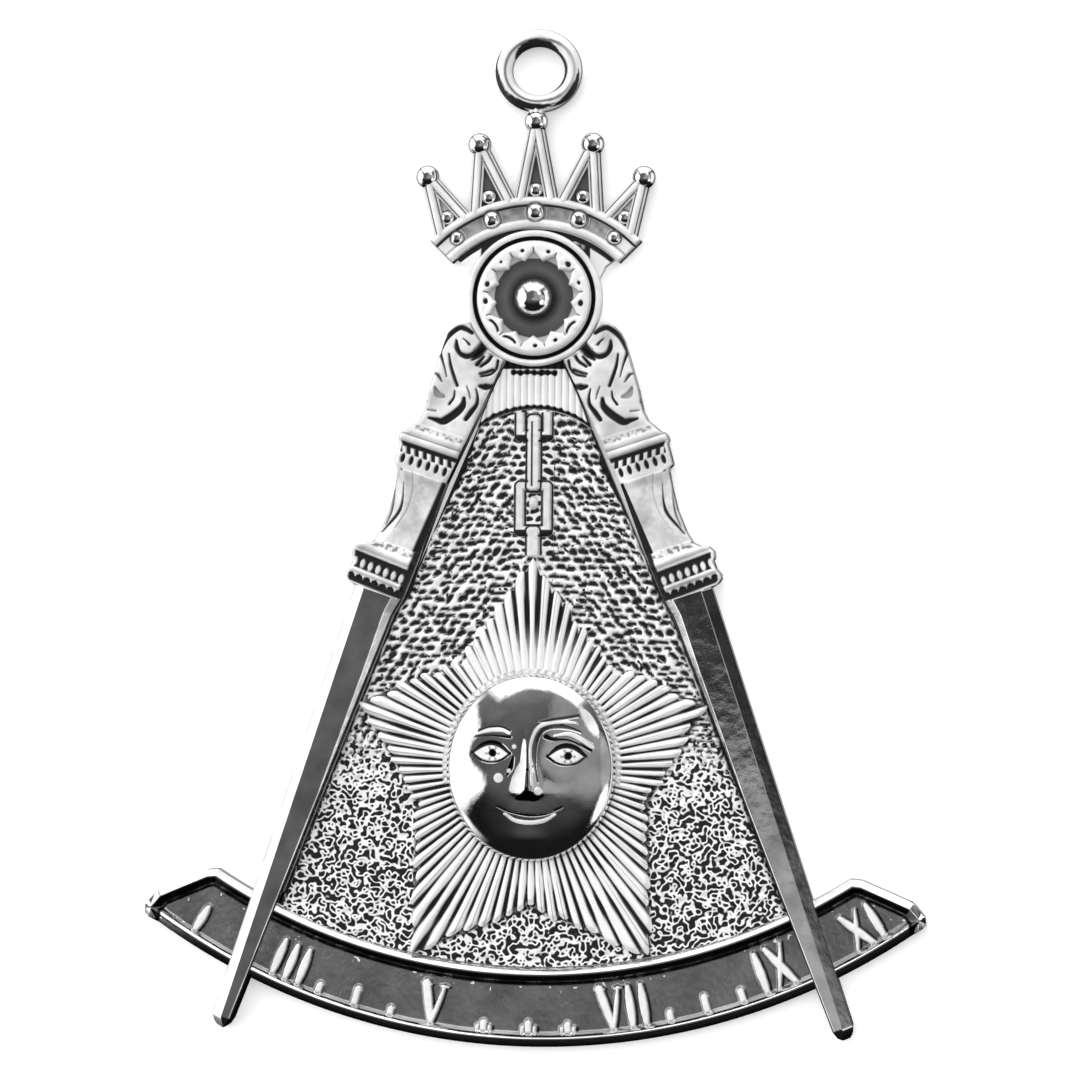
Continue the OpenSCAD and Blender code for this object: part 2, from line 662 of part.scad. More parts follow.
module head_outline() {
    intersection() {
        union() {
            circle(flange_r - gap);
            polygon([
                [-0.94 * flange_r, 0.26 * flange_r],
                [0.94 * flange_r, 0.26 * flange_r],
                above(band_r, band_angle, crown_drop),
                above(1.2 * band_r, 0.9 * band_angle, crown_drop),
                above(1.2 * band_r, -0.9 * band_angle, crown_drop),
                above(band_r, -band_angle, crown_drop)]);
        }
        translate([0, -crown_drop]) circle(band_r - gap);
    }
}

module fan_outline() {
    e1 = edge(fan_at);
    e2 = edge(arch_v + 1);
    end = edge(arch_v);
    rise = -arch_drop - end[1];
    curve_r = (end[0] ^ 2 + rise ^ 2) / (2 * rise);
    difference() {
        polygon([e1, [0, 0], [-e1[0], e1[1]], [-e2[0], e2[1]], e2]);
        translate([0, -arch_drop - curve_r]) circle(curve_r);
    }
}

module ribs() {
    half = floor((edge(arch_v)[0] - 0.1) / rib_pitch);
    for (i = [-half : half])
        translate([i * rib_pitch, -arch_drop - 3, head_t - 0.1])
            rotate([90, 0, 180]) linear_extrude(arch_drop + 3 - 0.75 * flange_r)
                polygon([[-0.4 * rib_pitch, 0], [0.4 * rib_pitch, 0], [0, 0.4]]);
}

module head_plate() {
    color("gainsboro") place() {
        linear_extrude(head_t) {
            head_outline();
            fan_outline();
        }
        intersection() {
            linear_extrude(head_t + 1) difference() {
                fan_outline();
                circle(flange_r + gap);
            }
            ribs();
        }
    }
}

module hinge_flange() {
    top = flange_t;
    floor_z = flange_floor_z - flange_z;
    color("silver") place() translate([0, 0, flange_z]) rotate_extrude() polygon([
        [0, 0], [flange_r, 0], [flange_r, 0.6 * top], [flange_r - 0.2, top],
        [groove_r + 0.25, top], [groove_r + 0.15, 0.3 * top], [groove_r - 0.15, 0.3 * top],
        [groove_r - 0.25, floor_z], [0, floor_z]]);
}

module scalloped_ring() {
    outer = groove_r - 0.3;
    inner = 0.6 * groove_r;
    deep = 0.16 * groove_r;
    color("whitesmoke") place() translate([0, 0, flange_floor_z]) difference() {
        rotate_extrude() polygon([
            [inner, 0], [outer, 0], [outer, 0.5 * scallop_h], [outer - 0.35, scallop_h],
            [inner + 0.7, scallop_h], [inner, 0.75 * scallop_h]]);
        for (i = [0 : scallop_count - 1])
            rotate([0, 0, 90 + 360 * i / scallop_count]) translate([inner, 0, -1])
                cylinder(r = deep, h = scallop_h + 2);
    }
}

module hinge_ball() {
    color("silver") place() translate([0, 0, flange_floor_z]) intersection() {
        translate([0, 0, 0.15 * ball_r]) sphere(ball_r);
        cylinder(r = 2 * ball_r, h = 3 * ball_r);
    }
}

// Crown

module crown_band() {
    translate([0, -crown_drop, 0])
        rotate_extrude(angle = 2 * band_angle, start = 90 - band_angle) {
            polygon([[band_r, 0], [crown_outer_r, 0], [crown_outer_r, band_t], [band_r, band_t]]);
            rail_section(band_r, band_r + 0.3 * band_depth, band_t + 0.3, band_t + 0.7);
            rail_section(crown_outer_r - 0.3 * band_depth, crown_outer_r, band_t + 0.3, band_t + 0.7);
        }
}

// Ball whose lower half runs straight down to the back
module pearl() {
    rotate_extrude() intersection() {
        union() {
            translate([0, pearl_z]) circle(pearl_r);
            square([pearl_r, pearl_z]);
        }
        square([pearl_r, pearl_z + pearl_r]);
    }
}

// One point of the crown: two bars, the thin plate between them, a ball and a bead
module crown_point(angle, share, foot1, foot2) {
    tip = above(crown_outer_r + share * point_h, angle, crown_drop);
    foot_r = crown_outer_r - 0.3;
    lean = atan(bar_w / 2 / foot_r);
    a = above(foot_r, foot1 + lean, crown_drop);
    b = above(foot_r, foot2 - lean, crown_drop);
    linear_extrude(0.5 * bar_t) polygon([a, tip, b, above(foot_r - 1, angle, crown_drop)]);
    ridge_bar(a, tip, bar_w, bar_t - 0.5, bar_t);
    ridge_bar(b, tip, bar_w, bar_t - 0.5, bar_t);
    translate([tip[0], tip[1], 0]) pearl();
    bead = above(crown_outer_r + 0.7 * bead_r, (foot1 + foot2) / 2, crown_drop);
    translate([bead[0], bead[1], 0.5 * bar_t + 0.3 * bead_r]) sphere(bead_r);
}

module band_bead(angle) {
    p = above(band_r + band_depth / 2, angle, crown_drop);
    translate([p[0], p[1], band_t + 0.2 * bead_r]) sphere(bead_r);
}

module crown() {
    color("silver") place() difference() {
        union() {
            crown_band();
            for (p = CROWN_POINTS) crown_point(p[0], p[1], p[2], p[3]);
            for (a = BAND_BEADS) band_bead(a);
        }
        translate([-2 * pearl_r, ring_foot_y, -over])
            cube([4 * pearl_r, 2 * pearl_r, pearl_z + pearl_r + 2 * over]);
    }
}

// Ring

module hanging_ring() {
    wire_r = wire_d / 2;
    z = pearl_z;
    color("silver") place() difference() {
        union() {
            translate([0, ring_y, z]) rotate_extrude() intersection() {
                translate([ring_mid_r, 0]) circle(wire_r + 0.05);
                translate([ring_mid_r - wire_r, -wire_d]) square([wire_d, 2 * wire_d]);
            }
            translate([0, ring_foot_y, z - 0.55 * wire_r]) linear_extrude(1.1 * wire_r) polygon([
                [-0.8 * pearl_r, 0], [0.8 * pearl_r, 0],
                [1.4 * pearl_r, 0.6 * wire_d], [-1.4 * pearl_r, 0.6 * wire_d]]);
        }
        translate([0, ring_y, -over]) cylinder(d = ring_hole_d, h = z + wire_d + 2 * over);
        translate([-ring_mid_r, ring_foot_y - 2 * wire_d, -over])
            cube([2 * ring_mid_r, 2 * wire_d, z + wire_d + 2 * over]);
    }
}

quadrant_arc();
field_plate();
chain_relief();
sun_glory();
sun_face();
left_leg();
right_leg();
head_plate();
hinge_flange();
scalloped_ring();
hinge_ball();
crown();
hanging_ring();
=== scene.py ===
"""Looks of the jewel: fine relief, materials, light and camera. Lengths are in millimetres, measured from
the hinge's centre, until a mesh is made. On a leg, v runs along it from the hinge and u out across it."""
import math

import bpy
import numpy as np
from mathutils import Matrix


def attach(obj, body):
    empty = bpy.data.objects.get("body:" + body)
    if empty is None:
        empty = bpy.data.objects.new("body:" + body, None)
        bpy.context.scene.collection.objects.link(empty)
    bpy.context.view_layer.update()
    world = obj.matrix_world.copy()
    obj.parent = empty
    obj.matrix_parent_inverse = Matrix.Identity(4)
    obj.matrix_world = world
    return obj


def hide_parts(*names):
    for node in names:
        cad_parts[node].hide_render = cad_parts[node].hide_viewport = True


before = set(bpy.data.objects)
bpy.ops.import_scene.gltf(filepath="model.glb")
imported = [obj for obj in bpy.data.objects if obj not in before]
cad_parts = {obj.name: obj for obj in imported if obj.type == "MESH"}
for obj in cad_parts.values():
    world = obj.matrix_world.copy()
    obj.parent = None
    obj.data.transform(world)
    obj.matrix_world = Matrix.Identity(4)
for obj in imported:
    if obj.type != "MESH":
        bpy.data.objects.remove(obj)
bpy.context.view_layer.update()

MM = 0.001
HINGE_Y = 21.275
LEG_ANGLE = math.radians(18.25)
CA, SA = math.cos(LEG_ANGLE), math.sin(LEG_ANGLE)


# Numbers on grids

def sstep(x, a=-0.05, b=0.05):
    """0 where x is below a, 1 where it is above b, and a smooth step between."""
    t = np.clip((x - a) / (b - a), 0, 1)
    return t * t * (3 - 2 * t)


def look(x, table):
    """Value at x in a table of (x, value) pairs."""
    xs, ys = zip(*table)
    return np.interp(x, xs, ys)


def within(x, half, low=-0.05, high=0.05):
    """1 where x is nearer to 0 than half and 0 where it isn't, with a step from low to high between."""
    return sstep(half - np.abs(x), low, high)


def most(first, *others):
    """The greatest of some layers at each spot."""
    for layer in others:
        first = np.maximum(first, layer)
    return first


def dome(x):
    """Height of a half circle of radius 1 over x, and 0 beside it."""
    return np.sqrt(np.clip(1 - x ** 2, 0, 1))


def grid(rows, cols, left=-1.0, right=1.0):
    """Shares from 0 to 1 down a grid, and values from left to right across it."""
    return np.linspace(0, 1, rows)[:, None], np.linspace(left, right, cols)[None, :]


def full_turn(n, whole=2 * math.pi):
    """Even steps round a turn, without its end."""
    return np.linspace(0, whole, n, endpoint=False)


def dist_line(x, y, points):
    """Distance to a polyline, and how far along it the nearest spot lies, as a share."""
    best = np.full(x.shape, 1e9)
    share = np.zeros(x.shape)
    points = np.asarray(points, float)
    lengths = np.linalg.norm(np.diff(points, axis=0), axis=1)
    ends = np.concatenate([[0], np.cumsum(lengths)]) / max(lengths.sum(), 1e-9)
    for k in range(len(points) - 1):
        a, b = points[k], points[k + 1]
        ab = b - a
        t = np.clip(((x - a[0]) * ab[0] + (y - a[1]) * ab[1]) / max(ab @ ab, 1e-12), 0, 1)
        d = np.hypot(x - a[0] - t * ab[0], y - a[1] - t * ab[1])
        near = d < best
        best = np.where(near, d, best)
        share = np.where(near, ends[k] + t * (ends[k + 1] - ends[k]), share)
    return best, share


def smooth_line(points, steps=6):
    """A round curve through the points."""
    p = np.asarray(points, float)
    p = np.vstack([2 * p[0] - p[1], p, 2 * p[-1] - p[-2]])
    out = []
    for k in range(1, len(p) - 2):
        for s in range(steps):
            t = s / steps
            out.append(0.5 * (2 * p[k] + (p[k + 1] - p[k - 1]) * t
                              + (2 * p[k - 1] - 5 * p[k] + 4 * p[k + 1] - p[k + 2]) * t * t
                              + (3 * p[k] - p[k - 1] - 3 * p[k + 1] + p[k + 2]) * t ** 3))
    out.append(p[-2])
    return np.array(out)


def noise(x, y, size, seed):
    """Smooth random values from -1 to 1 with lumps of about that size."""
    high, wide = 97, 89
    table = np.random.default_rng(seed).uniform(-1, 1, (high, wide))
    # the shift keeps both above 0
    u, v = x / size + 400.3, y / size + 400.7
    i, j = np.floor(u).astype(int), np.floor(v).astype(int)
    fu, fv = u - i, v - j
    fu, fv = fu * fu * (3 - 2 * fu), fv * fv * (3 - 2 * fv)

    def row(b):
        return table[i % high, b % wide] * (1 - fu) + table[(i + 1) % high, b % wide] * fu

    return row(j) * (1 - fv) + row(j + 1) * fv


def stroke(x, y, points, widths, soft=0.06):
    """1 on a line drawn through the points, 0 beside it; its widths are given at even steps along it."""
    d, share = dist_line(x, y, smooth_line(points))
    half = np.interp(share, np.linspace(0, 1, len(widths)), widths) / 2
    return sstep(half - d, -soft, soft)


# Meshes

def quads(rows, cols, close_cols=True, close_rows=False):
    """Faces of a grid of spots; where it closes, its last row or column is joined to its first."""
    down, along = (rows if close_rows else rows - 1), (cols if close_cols else cols - 1)
    i, j = np.meshgrid(np.arange(down), np.arange(along), indexing="ij")
    here, below = i * cols, (i + 1) % rows * cols
    right = (j + 1) % cols
    return np.stack([here + j, here + right, below + right, below + j], -1).reshape(-1, 4)


def put(name, data):
    """A new object in the scene."""
    o = bpy.data.objects.new(name, data)
    bpy.context.scene.collection.objects.link(o)
    return o


class Build:
    """Collects surfaces and makes one piece of them."""

    def __init__(self):
        self.verts, self.faces, self.mats, self.smooths = [], [], [], []
        self.spots = {"deep": [], "satin": []}
        self.count = 0

    def add(self, verts, faces, mat=0, smooth=True, deep=0.0, satin=0.0):
        """deep is how dark a spot is, from painted shade and from tarnish, and satin how matt and white it
        is, from 0 to 1.
        """
        verts = np.asarray(verts, float)
        for key, value in (("deep", deep), ("satin", satin)):
            self.spots[key].append(np.broadcast_to(np.asarray(value, float), verts.shape[:-1]).reshape(-1))
        verts = verts.reshape(-1, 3)
        self.verts.append(verts)
        self.faces += [[int(k) + self.count for k in f] for f in faces]
        self.mats += list(np.broadcast_to(mat, len(faces)))
        self.smooths += [smooth] * len(faces)
        self.count += len(verts)

    def relief(self, x, y, z, base=0.0, wrap=False, mat=0, deep=0.0, satin=1.0):
        """A surface over a grid, with walls down to base and a flat back. One that wraps closes round a
        middle, which is left open if it is wider than a point."""
        rows, cols = x.shape
        surface = np.stack([x, y, z], -1)
        top = surface.reshape(-1, 3)
        faces = quads(rows, cols, wrap)
        a, b, c, d = (top[faces[:, n]] for n in range(4))
        turn = ((c - a)[:, 0] * (d - b)[:, 1] - (c - a)[:, 1] * (d - b)[:, 0]).sum()
        if turn < 0:
            faces = faces[:, ::-1]
        self.add(surface, faces, mat, deep=deep, satin=satin)
        first, last = np.arange(cols), (rows - 1) * cols + np.arange(cols)
        if wrap:
            loops = sorted([first, last], key=lambda loop: -np.ptp(top[loop, 0]))
        else:
            loops = [np.concatenate([first, np.arange(1, rows) * cols + cols - 1, last[-2::-1],
                                     np.arange(rows - 2, 0, -1) * cols])]
        lows = []
        for n, loop in enumerate(loops):
            edge = top[loop]
            area = (edge[:, 0] * np.roll(edge[:, 1], -1) - edge[:, 1] * np.roll(edge[:, 0], -1)).sum()
            if (area < 0) != (n == 1):
                edge = edge[::-1]
            low = edge.copy()
            low[:, 2] = base
            self.add(np.vstack([low, edge]), quads(2, len(edge)))
            lows.append(low)
        widest_point = 0.05
        if wrap and np.ptp(lows[1][:, 0]) > widest_point:
            inner = lows[1][::-1]
            near = int(np.argmin(np.hypot(*(inner - lows[0][0])[:, :2].T)))
            inner = np.roll(inner, -near, axis=0)
            self.add(np.vstack([lows[0], inner]), quads(2, cols)[:, [0, 3, 2, 1]], smooth=False)
        else:
            self.add(lows[0], [np.arange(len(lows[0]))[::-1]], smooth=False)

    def ball(self, x, y, z, r, n=36, squash=1.0):
        lat = np.linspace(-math.pi / 2, math.pi / 2, n // 2 + 1)
        a, b = np.meshgrid(lat, full_turn(n), indexing="ij")
        p = np.stack([x + r * np.cos(a) * np.cos(b), y + r * np.cos(a) * np.sin(b),
                      z + squash * r * np.sin(a)], -1)
        self.add(p, quads(n // 2 + 1, n))

    def tube(self, path, section, closed=False, deep=0.0):
        """Moves a section, given as (across, up) pairs, along a flat path of (x, y)."""
        path = np.asarray(path, float)
        section = np.asarray(section, float)
        way = np.roll(path, -1, 0) - np.roll(path, 1, 0) if closed else np.gradient(path, axis=0)
        way /= np.linalg.norm(way, axis=1)[:, None]
        side = np.stack([way[:, 1], -way[:, 0]], -1)
        n, m = len(path), len(section)
        p = np.zeros((n, m, 3))
        p[..., :2] = path[:, None, :] + side[:, None, :] * section[None, :, 0:1]
        p[..., 2] = section[None, :, 1]
        self.add(p, quads(n, m, close_rows=closed), deep=deep, satin=1.0)
        if not closed:
            self.add(p[0], [np.arange(m)], smooth=False, satin=1.0)
            self.add(p[-1], [np.arange(m)[::-1]], smooth=False, satin=1.0)

    def turned(self, profile, n=160):
        """Surface turned round the hinge's axis, from (radius, height, darkness) triples."""
        profile = np.asarray(profile, float)
        a = full_turn(n)
        r, z, deep = profile[:, 0:1], profile[:, 1:2], profile[:, 2:3]
        p = np.stack([r * np.cos(a), r * np.sin(a), z + 0 * a], -1)
        self.add(p, quads(len(profile), n), deep=deep, satin=1.0)

    def make(self, name, mats, node):
        """The piece itself, which takes the place of a node of the CAD part."""
        mesh = bpy.data.meshes.new(name)
        verts = (np.vstack(self.verts) + [0, HINGE_Y, 0]) * MM
        mesh.from_pydata(verts.tolist(), [], self.faces)
        for key, values in self.spots.items():
            mesh.attributes.new(key, "FLOAT", "POINT").data.foreach_set("value", np.concatenate(values))
        mesh.polygons.foreach_set("material_index", np.array(self.mats, dtype=np.int32))
        mesh.polygons.foreach_set("use_smooth", np.array(self.smooths, dtype=bool))
        for m in mats:
            mesh.materials.append(m)
        mesh.update()
        o = put(name, mesh)
        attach(o, "root")
        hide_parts(node)


# Materials

# The stippling turns from ovals into a maze between these distances below the hinge's centre
MAZE = (33, 45)


class Nodes:
    """Adds nodes to a tree; each value is a number or what another node gives."""

    def __init__(self, tree):
        self.tree = tree

    def add(self, kind, result, inputs, **settings):
        """A node of that kind; its inputs and the result to hand back are given by name or number."""
        node = self.tree.nodes.new("ShaderNode" + kind)
        for key, value in settings.items():
            setattr(node, key, value)
        for key, value in inputs.items():
            if isinstance(value, (int, float, tuple)):
                node.inputs[key].default_value = value
            else:
                self.tree.links.new(value, node.inputs[key])
        return node.outputs[result]

    def op(self, kind, *values):
        return self.add("Math", 0, dict(enumerate(values)), operation=kind)

    def ramp(self, value, low, high, at_low=0.0, at_high=1.0, **settings):
        inputs = {"Value": value, "From Min": low, "From Max": high, "To Min": at_low, "To Max": at_high}
        return self.add("MapRange", "Result", inputs, **settings)

    def noise(self, place, scale, detail, distortion=0.0):
        inputs = {"Vector": place, "Scale": scale, "Detail": detail, "Distortion": distortion}
        return self.add("TexNoise", "Fac", inputs)

    def bump(self, height, distance, **inputs):
        inputs.update({"Height": height, "Strength": 1.0, "Distance": distance})
        return self.add("Bump", "Normal", inputs)

    def times(self, first, *others):
        for value in others:
            first = self.op("MULTIPLY", first, value)
        return first

    def most(self, first, *others):
        for value in others:
            first = self.op("MAXIMUM", first, value)
        return first


def maze_painted_shade(n, place, dark):
    """White worms on black, on the front of the piece's lower part alone; the black is painted shade between
    the worms.
    """
    spot = n.add("SeparateXYZ", 0, {"Vector": place}).node.outputs
    worm = n.op("ABSOLUTE", n.op("SUBTRACT", n.noise(place, 2000, 0, 0.1), 0.5))
    above = n.ramp(spot["Y"], (HINGE_Y - MAZE[0]) * MM, (HINGE_Y - MAZE[1]) * MM, 0.16, 0.0)
    bare = n.ramp(spot["Z"], 0.8 * MM, 1.0 * MM, 1.0, above)
    return n.op("MAXIMUM", n.ramp(n.op("SUBTRACT", worm, bare), 0.06, 0.12), dark)


def material(name):
    """A new material and the inputs of its shader."""
    m = bpy.data.materials.new(name)
    m.use_nodes = True
    return m, m.node_tree.nodes["Principled BSDF"].inputs


def metal(name, color=0.92, rough=0.05, rough_var=0.04, grain=0.0005, diffuse=0.0, stain=0.25, wave=0.0,
          darkest_tone=0.02, maze=False):
    """Silver with stains, painted shade and tarnish that darken it, matt places, a grain and slow waves, both
    given by their height.
    """
    m, shader = material(name)
    n = Nodes(m.node_tree)
    place = n.add("TexCoord", "Object", {})
    deep, satin = (n.add("Attribute", "Fac", {}, attribute_name=key) for key in ("deep", "satin"))
    fine = n.noise(place, 6000, 3)
    tone = n.ramp(n.noise(place, 350, 5), 0.35, 0.7, color, color * (1 - stain))
    dark = maze_painted_shade(n, place, deep) if maze else deep
    # the colour darkens towards its darkest tone where painted shade and tarnish are given
    shaded_tone = n.ramp(dark, 0.0, 1.0, tone, darkest_tone)
    polish = n.ramp(fine, 0.3, 0.7, rough, rough + rough_var)
    normal = n.bump(fine, grain * MM)
    if wave:
        normal = n.bump(n.noise(place, 600, 2), wave * MM, Normal=normal)
    channels = {"Red": shaded_tone, "Green": shaded_tone, "Blue": shaded_tone}
    looks = {"Base Color": n.add("CombineColor", "Color", channels),
             "Roughness": n.ramp(satin, 0.0, 1.0, polish, 0.45),
             "Metallic": n.ramp(satin, 0.0, 1.0, 1.0 - diffuse, 0.3), "Normal": normal}
    for key, value in looks.items():
        m.node_tree.links.new(value, shader[key])
    shader["Specular IOR Level"].default_value = 0.2
    return m


POLISHED = metal("polished silver", rough=0.05, wave=0.02)
FACE = metal("mirror silver", rough=0.04, rough_var=0.06, grain=0.002, stain=0.4, wave=0.02)
SATIN = metal("satin silver", color=0.92, rough=0.25, rough_var=0.1, grain=0.01, diffuse=0.5, stain=0.12)
DARK = metal("darkened silver", color=0.6, rough=0.3, rough_var=0.15, grain=0.03, stain=0.35)
FROST = metal("frosted silver", color=0.95, rough=0.42, rough_var=0.15, grain=0.01, diffuse=0.7, stain=0.1)
RAY = metal("ray silver", color=0.97, rough=0.3, rough_var=0.1, grain=0.005, diffuse=0.6, stain=0.06)
STIPPLED = metal("stippled silver", color=0.97, rough=0.3, rough_var=0.1, grain=0.005, stain=0.06, maze=True)
FLANGE = metal("flange silver", rough=0.05, stain=0.3, wave=0.01, darkest_tone=0.01)


# Arc

ARC_DROP, ARC_R, ARC_IN = 7.3, 59.8, 52.7
FLOOR_Z, SIDE_Z, RAIL_Z, MARK_Z = 1.2, 1.4, 2.0, 0.45
# Inner edge of the arc's tips: degrees from the middle, and radius
WING = [(32.81, 52.7), (33.69, 53.34), (35.19, 55.54), (36.39, 57.53), (36.5, 59.1)]
WING_TURN, WING_END = 36.14, 36.49
# Numerals: degrees from the middle, letters and height
NUMERALS = [(-31.6, "I", 2.6), (-22.5, "III", 3.4), (-9.0, "V", 3.6), (8.5, "VII", 3.8), (22.6, "IX", 3.8),
            (31.4, "XI", 3.4)]
# Ticks: degrees from the middle, and height
TICKS = [(-19.3, 0.9), (-15.9, 1.8), (-12.6, 0.7), (-4.2, 0.9), (-0.2, 1.1), (3.3, 0.9), (12.5, 0.9),
         (15.8, 1.7), (19.1, 1.2)]


def letter_strokes(text, h):
    """Strokes of a numeral, its middle at 0 and its foot at 0: from, to, widths along it."""
    slim, serif = [0.25, 0.45, 0.45, 0.3], [0.25, 0.25]
    # how wide each letter is, and its strokes
    letters = {
        "I": (1.25, [((0, 0.15), (0, h - 0.1), [0.5, 0.72, 0.8, 0.72, 0.45])]),
        "V": (2.5, [((-0.85, h), (0.1, 0.15), [0.75, 0.8, 0.7, 0.5]), ((0.95, h), (0.15, 0.15), slim),
                    ((-1.2, h - 0.1), (-0.4, h - 0.1), serif), ((0.6, h - 0.1), (1.25, h - 0.1), serif)]),
        "X": (2.6, [((-0.8, h), (0.8, 0.1), [0.5, 0.75, 0.75, 0.5]), ((0.8, h), (-0.8, 0.1), slim)])}
    left = -sum(letters[c][0] for c in text) / 2
    out = []
    for c in text:
        wide, strokes = letters[c]
        m = left + wide / 2
        out += [((m + p, p_up), (m + q, q_up), widths) for (p, p_up), (q, q_up), widths in strokes]
        left += wide
    return out


def arc_spot(r, a):
    """The spot (x, y) at a radius and an angle of the numbered arc."""
    return r * np.sin(a), -ARC_DROP - r * np.cos(a)


def rail(d, crest, foot, low, high, inner):
    """Ridge along an edge: height at d from it, from low at the edge to high at the crest, then to inner."""
    outside = low + (high - low) * np.clip(d / crest, 0, 1) ** 0.8
    inside = inner + (high - inner) * np.clip((foot - d) / (foot - crest), 0, 1) ** 0.75
    return np.where(d < crest, outside, inside)


def make_arc():
    b = Build()
    cols, rows = 860, 64
    th = np.radians(np.linspace(-WING_END, WING_END, cols))
    deg = np.degrees(np.abs(th))
    r_in = np.where(deg < WING[0][0], ARC_IN, look(deg, WING))
    r_out = ARC_R - 0.7 * np.clip((deg - WING_TURN) / (WING_END - WING_TURN), 0, 1)
    s = np.linspace(0, 1, rows)[:, None]
    r = r_in + (r_out - r_in) * s
    t = np.broadcast_to(th, r.shape)
    x, y = arc_spot(r, t)
    edge = [(a, ARC_IN) for a in np.linspace(28, 32.5, 8)] + WING + [(WING_TURN, ARC_R)]
    line = [arc_spot(q, math.radians(a)) for a, q in edge]
    d_in = r - r_in
    far = deg > 30
    d_in[:, far] = dist_line(np.abs(x[:, far]), y[:, far], line)[0]
    d_out = ARC_R - r
    crest_in, foot_in, crest_out, foot_out = 0.6, 1.5, 0.75, 1.35
    upper = rail(d_in, crest_in, foot_in, SIDE_Z, RAIL_Z, FLOOR_Z)
    lower = rail(d_out, crest_out, foot_out, SIDE_Z - 0.2, RAIL_Z, FLOOR_Z)
    on_rail = (d_in < foot_in) | (d_out < foot_out)
    z = np.where(on_rail, most(upper * (d_in < foot_in), lower * (d_out < foot_out)), FLOOR_Z)
    mark = np.zeros(r.shape)
    shade = np.zeros(r.shape)
    foot = ARC_R - foot_out + 0.12

    def near_mark(degrees, reach):
        """Columns near a mark, and how far right of the mark's foot and above it their spots lie."""
        a = math.radians(degrees)
        near = np.abs(th - a) < math.radians(reach)
        return near, (t[:, near] - a) * foot, foot - r[:, near]

    def draw(layer, near, on):
        layer[:, near] = most(layer[:, near], on)

    for a, text, h in NUMERALS:
        near, u, v = near_mark(a, 5)
        for p, q, widths in letter_strokes(text, h):
            draw(mark, near, stroke(u, v, [p, q], widths, 0.1))
            # a painted shadow beside each stroke, a little to its right and below it
            beside = [(p[0] + 0.25, p[1] - 0.05), (q[0] + 0.25, q[1] - 0.05)]
            draw(shade, near, stroke(u, v, beside, widths, 0.05))
    for a, size in TICKS:
        near, u, v = near_mark(a, 3)
        parts = [(0, size, 0.62)]
        # each of the three in the middle has a small one on either side
        if abs(a) < 5:
            parts += [(-0.55, size * 0.6, 0.32), (0.55, size * 0.6, 0.32)]
        for m, high, w in parts:
            d, _ = dist_line(u, v, [(m, -0.2), (m, high * 0.85)])
            draw(mark, near, within(d, w / 2, -0.125, 0.125))
            # a painted shadow beside each tick, to its right
            d, _ = dist_line(u, v, [(m + 0.32, 0), (m + 0.32, high * 0.7)])
            draw(shade, near, within(d, 0.15, -0.1, 0.1))
    mark *= ~on_rail
    z = z + MARK_Z * mark + 0.02 * noise(x, y, 0.3, 3) * ~on_rail
    specks = np.clip(noise(x, y, 0.3, 4) - 0.7, 0, 1) * 4 * (np.abs(d_in - foot_in - 0.35) < 0.35)
    # the painted shadows beside the marks, kept off the rails
    deep = np.clip(shade * (1 - mark), 0, 1) * ~on_rail
    # painted shade on the upper rail's slope down to the floor and along the lower rail's outer edge
    slope = 0.84 + 0.1 * noise(x, y, 0.7, 15) + 0.16 * sstep(d_in, foot_in - 0.3, foot_in - 0.2)
    slope = slope * sstep(d_in, crest_in + 0.02, crest_in + 0.16) * (d_in < foot_in + 0.05)
    deep = most(deep, slope, 0.7 * sstep(0.5 - d_out, 0, 0.3) * (d_out < 0.5))
    kind = np.where((mark + specks)[:-1, :-1] > 0.45, 2, np.where(on_rail[:-1, :-1], 0, 1)).reshape(-1)
    b.relief(x, y, z, mat=kind, deep=deep, satin=0.0)
    b.make("engraved_arc", [POLISHED, DARK, FROST], "quadrant_arc")


# Field

PLATE_Z, SUN_DROP = 1.5, 42.0
# The glory's tips and the notches between them: degrees, and distance from its middle
GLORY = [(90, 18.81), (55.6, 11.5), (20, 16.4), (-16, 10.8), (-57.5, 19.9), (-90, 12.5)]


def inner_u(v):
    """Where the plate ends under a leg."""
    return look(v, [(6, 0.8), (29.4, 2.75), (31, 3.1), (71.4, 5.4)])


def leg_spot(u, v):
    """The spot (x, y) for u and v of the right leg."""
    return u * CA + v * SA, u * SA - v * CA


def glory_r(angle):
    """Radius of the star's outline at an angle in degrees."""
    a = (angle + 450) % 360 - 90
    a = np.where(a > 90, 180 - a, a)
    out = np.zeros(a.shape)
    for (p0, r0), (p1, r1) in zip(GLORY[:-1], GLORY[1:]):
        k = (a <= p0) & (a >= p1)
        s0, s1, s2 = (np.sin(np.radians(q)) for q in (p0 - p1, p0 - a, a - p1))
        out = np.where(k, r0 * r1 * s0 / (r0 * s1 + r1 * s2), out)
    return out


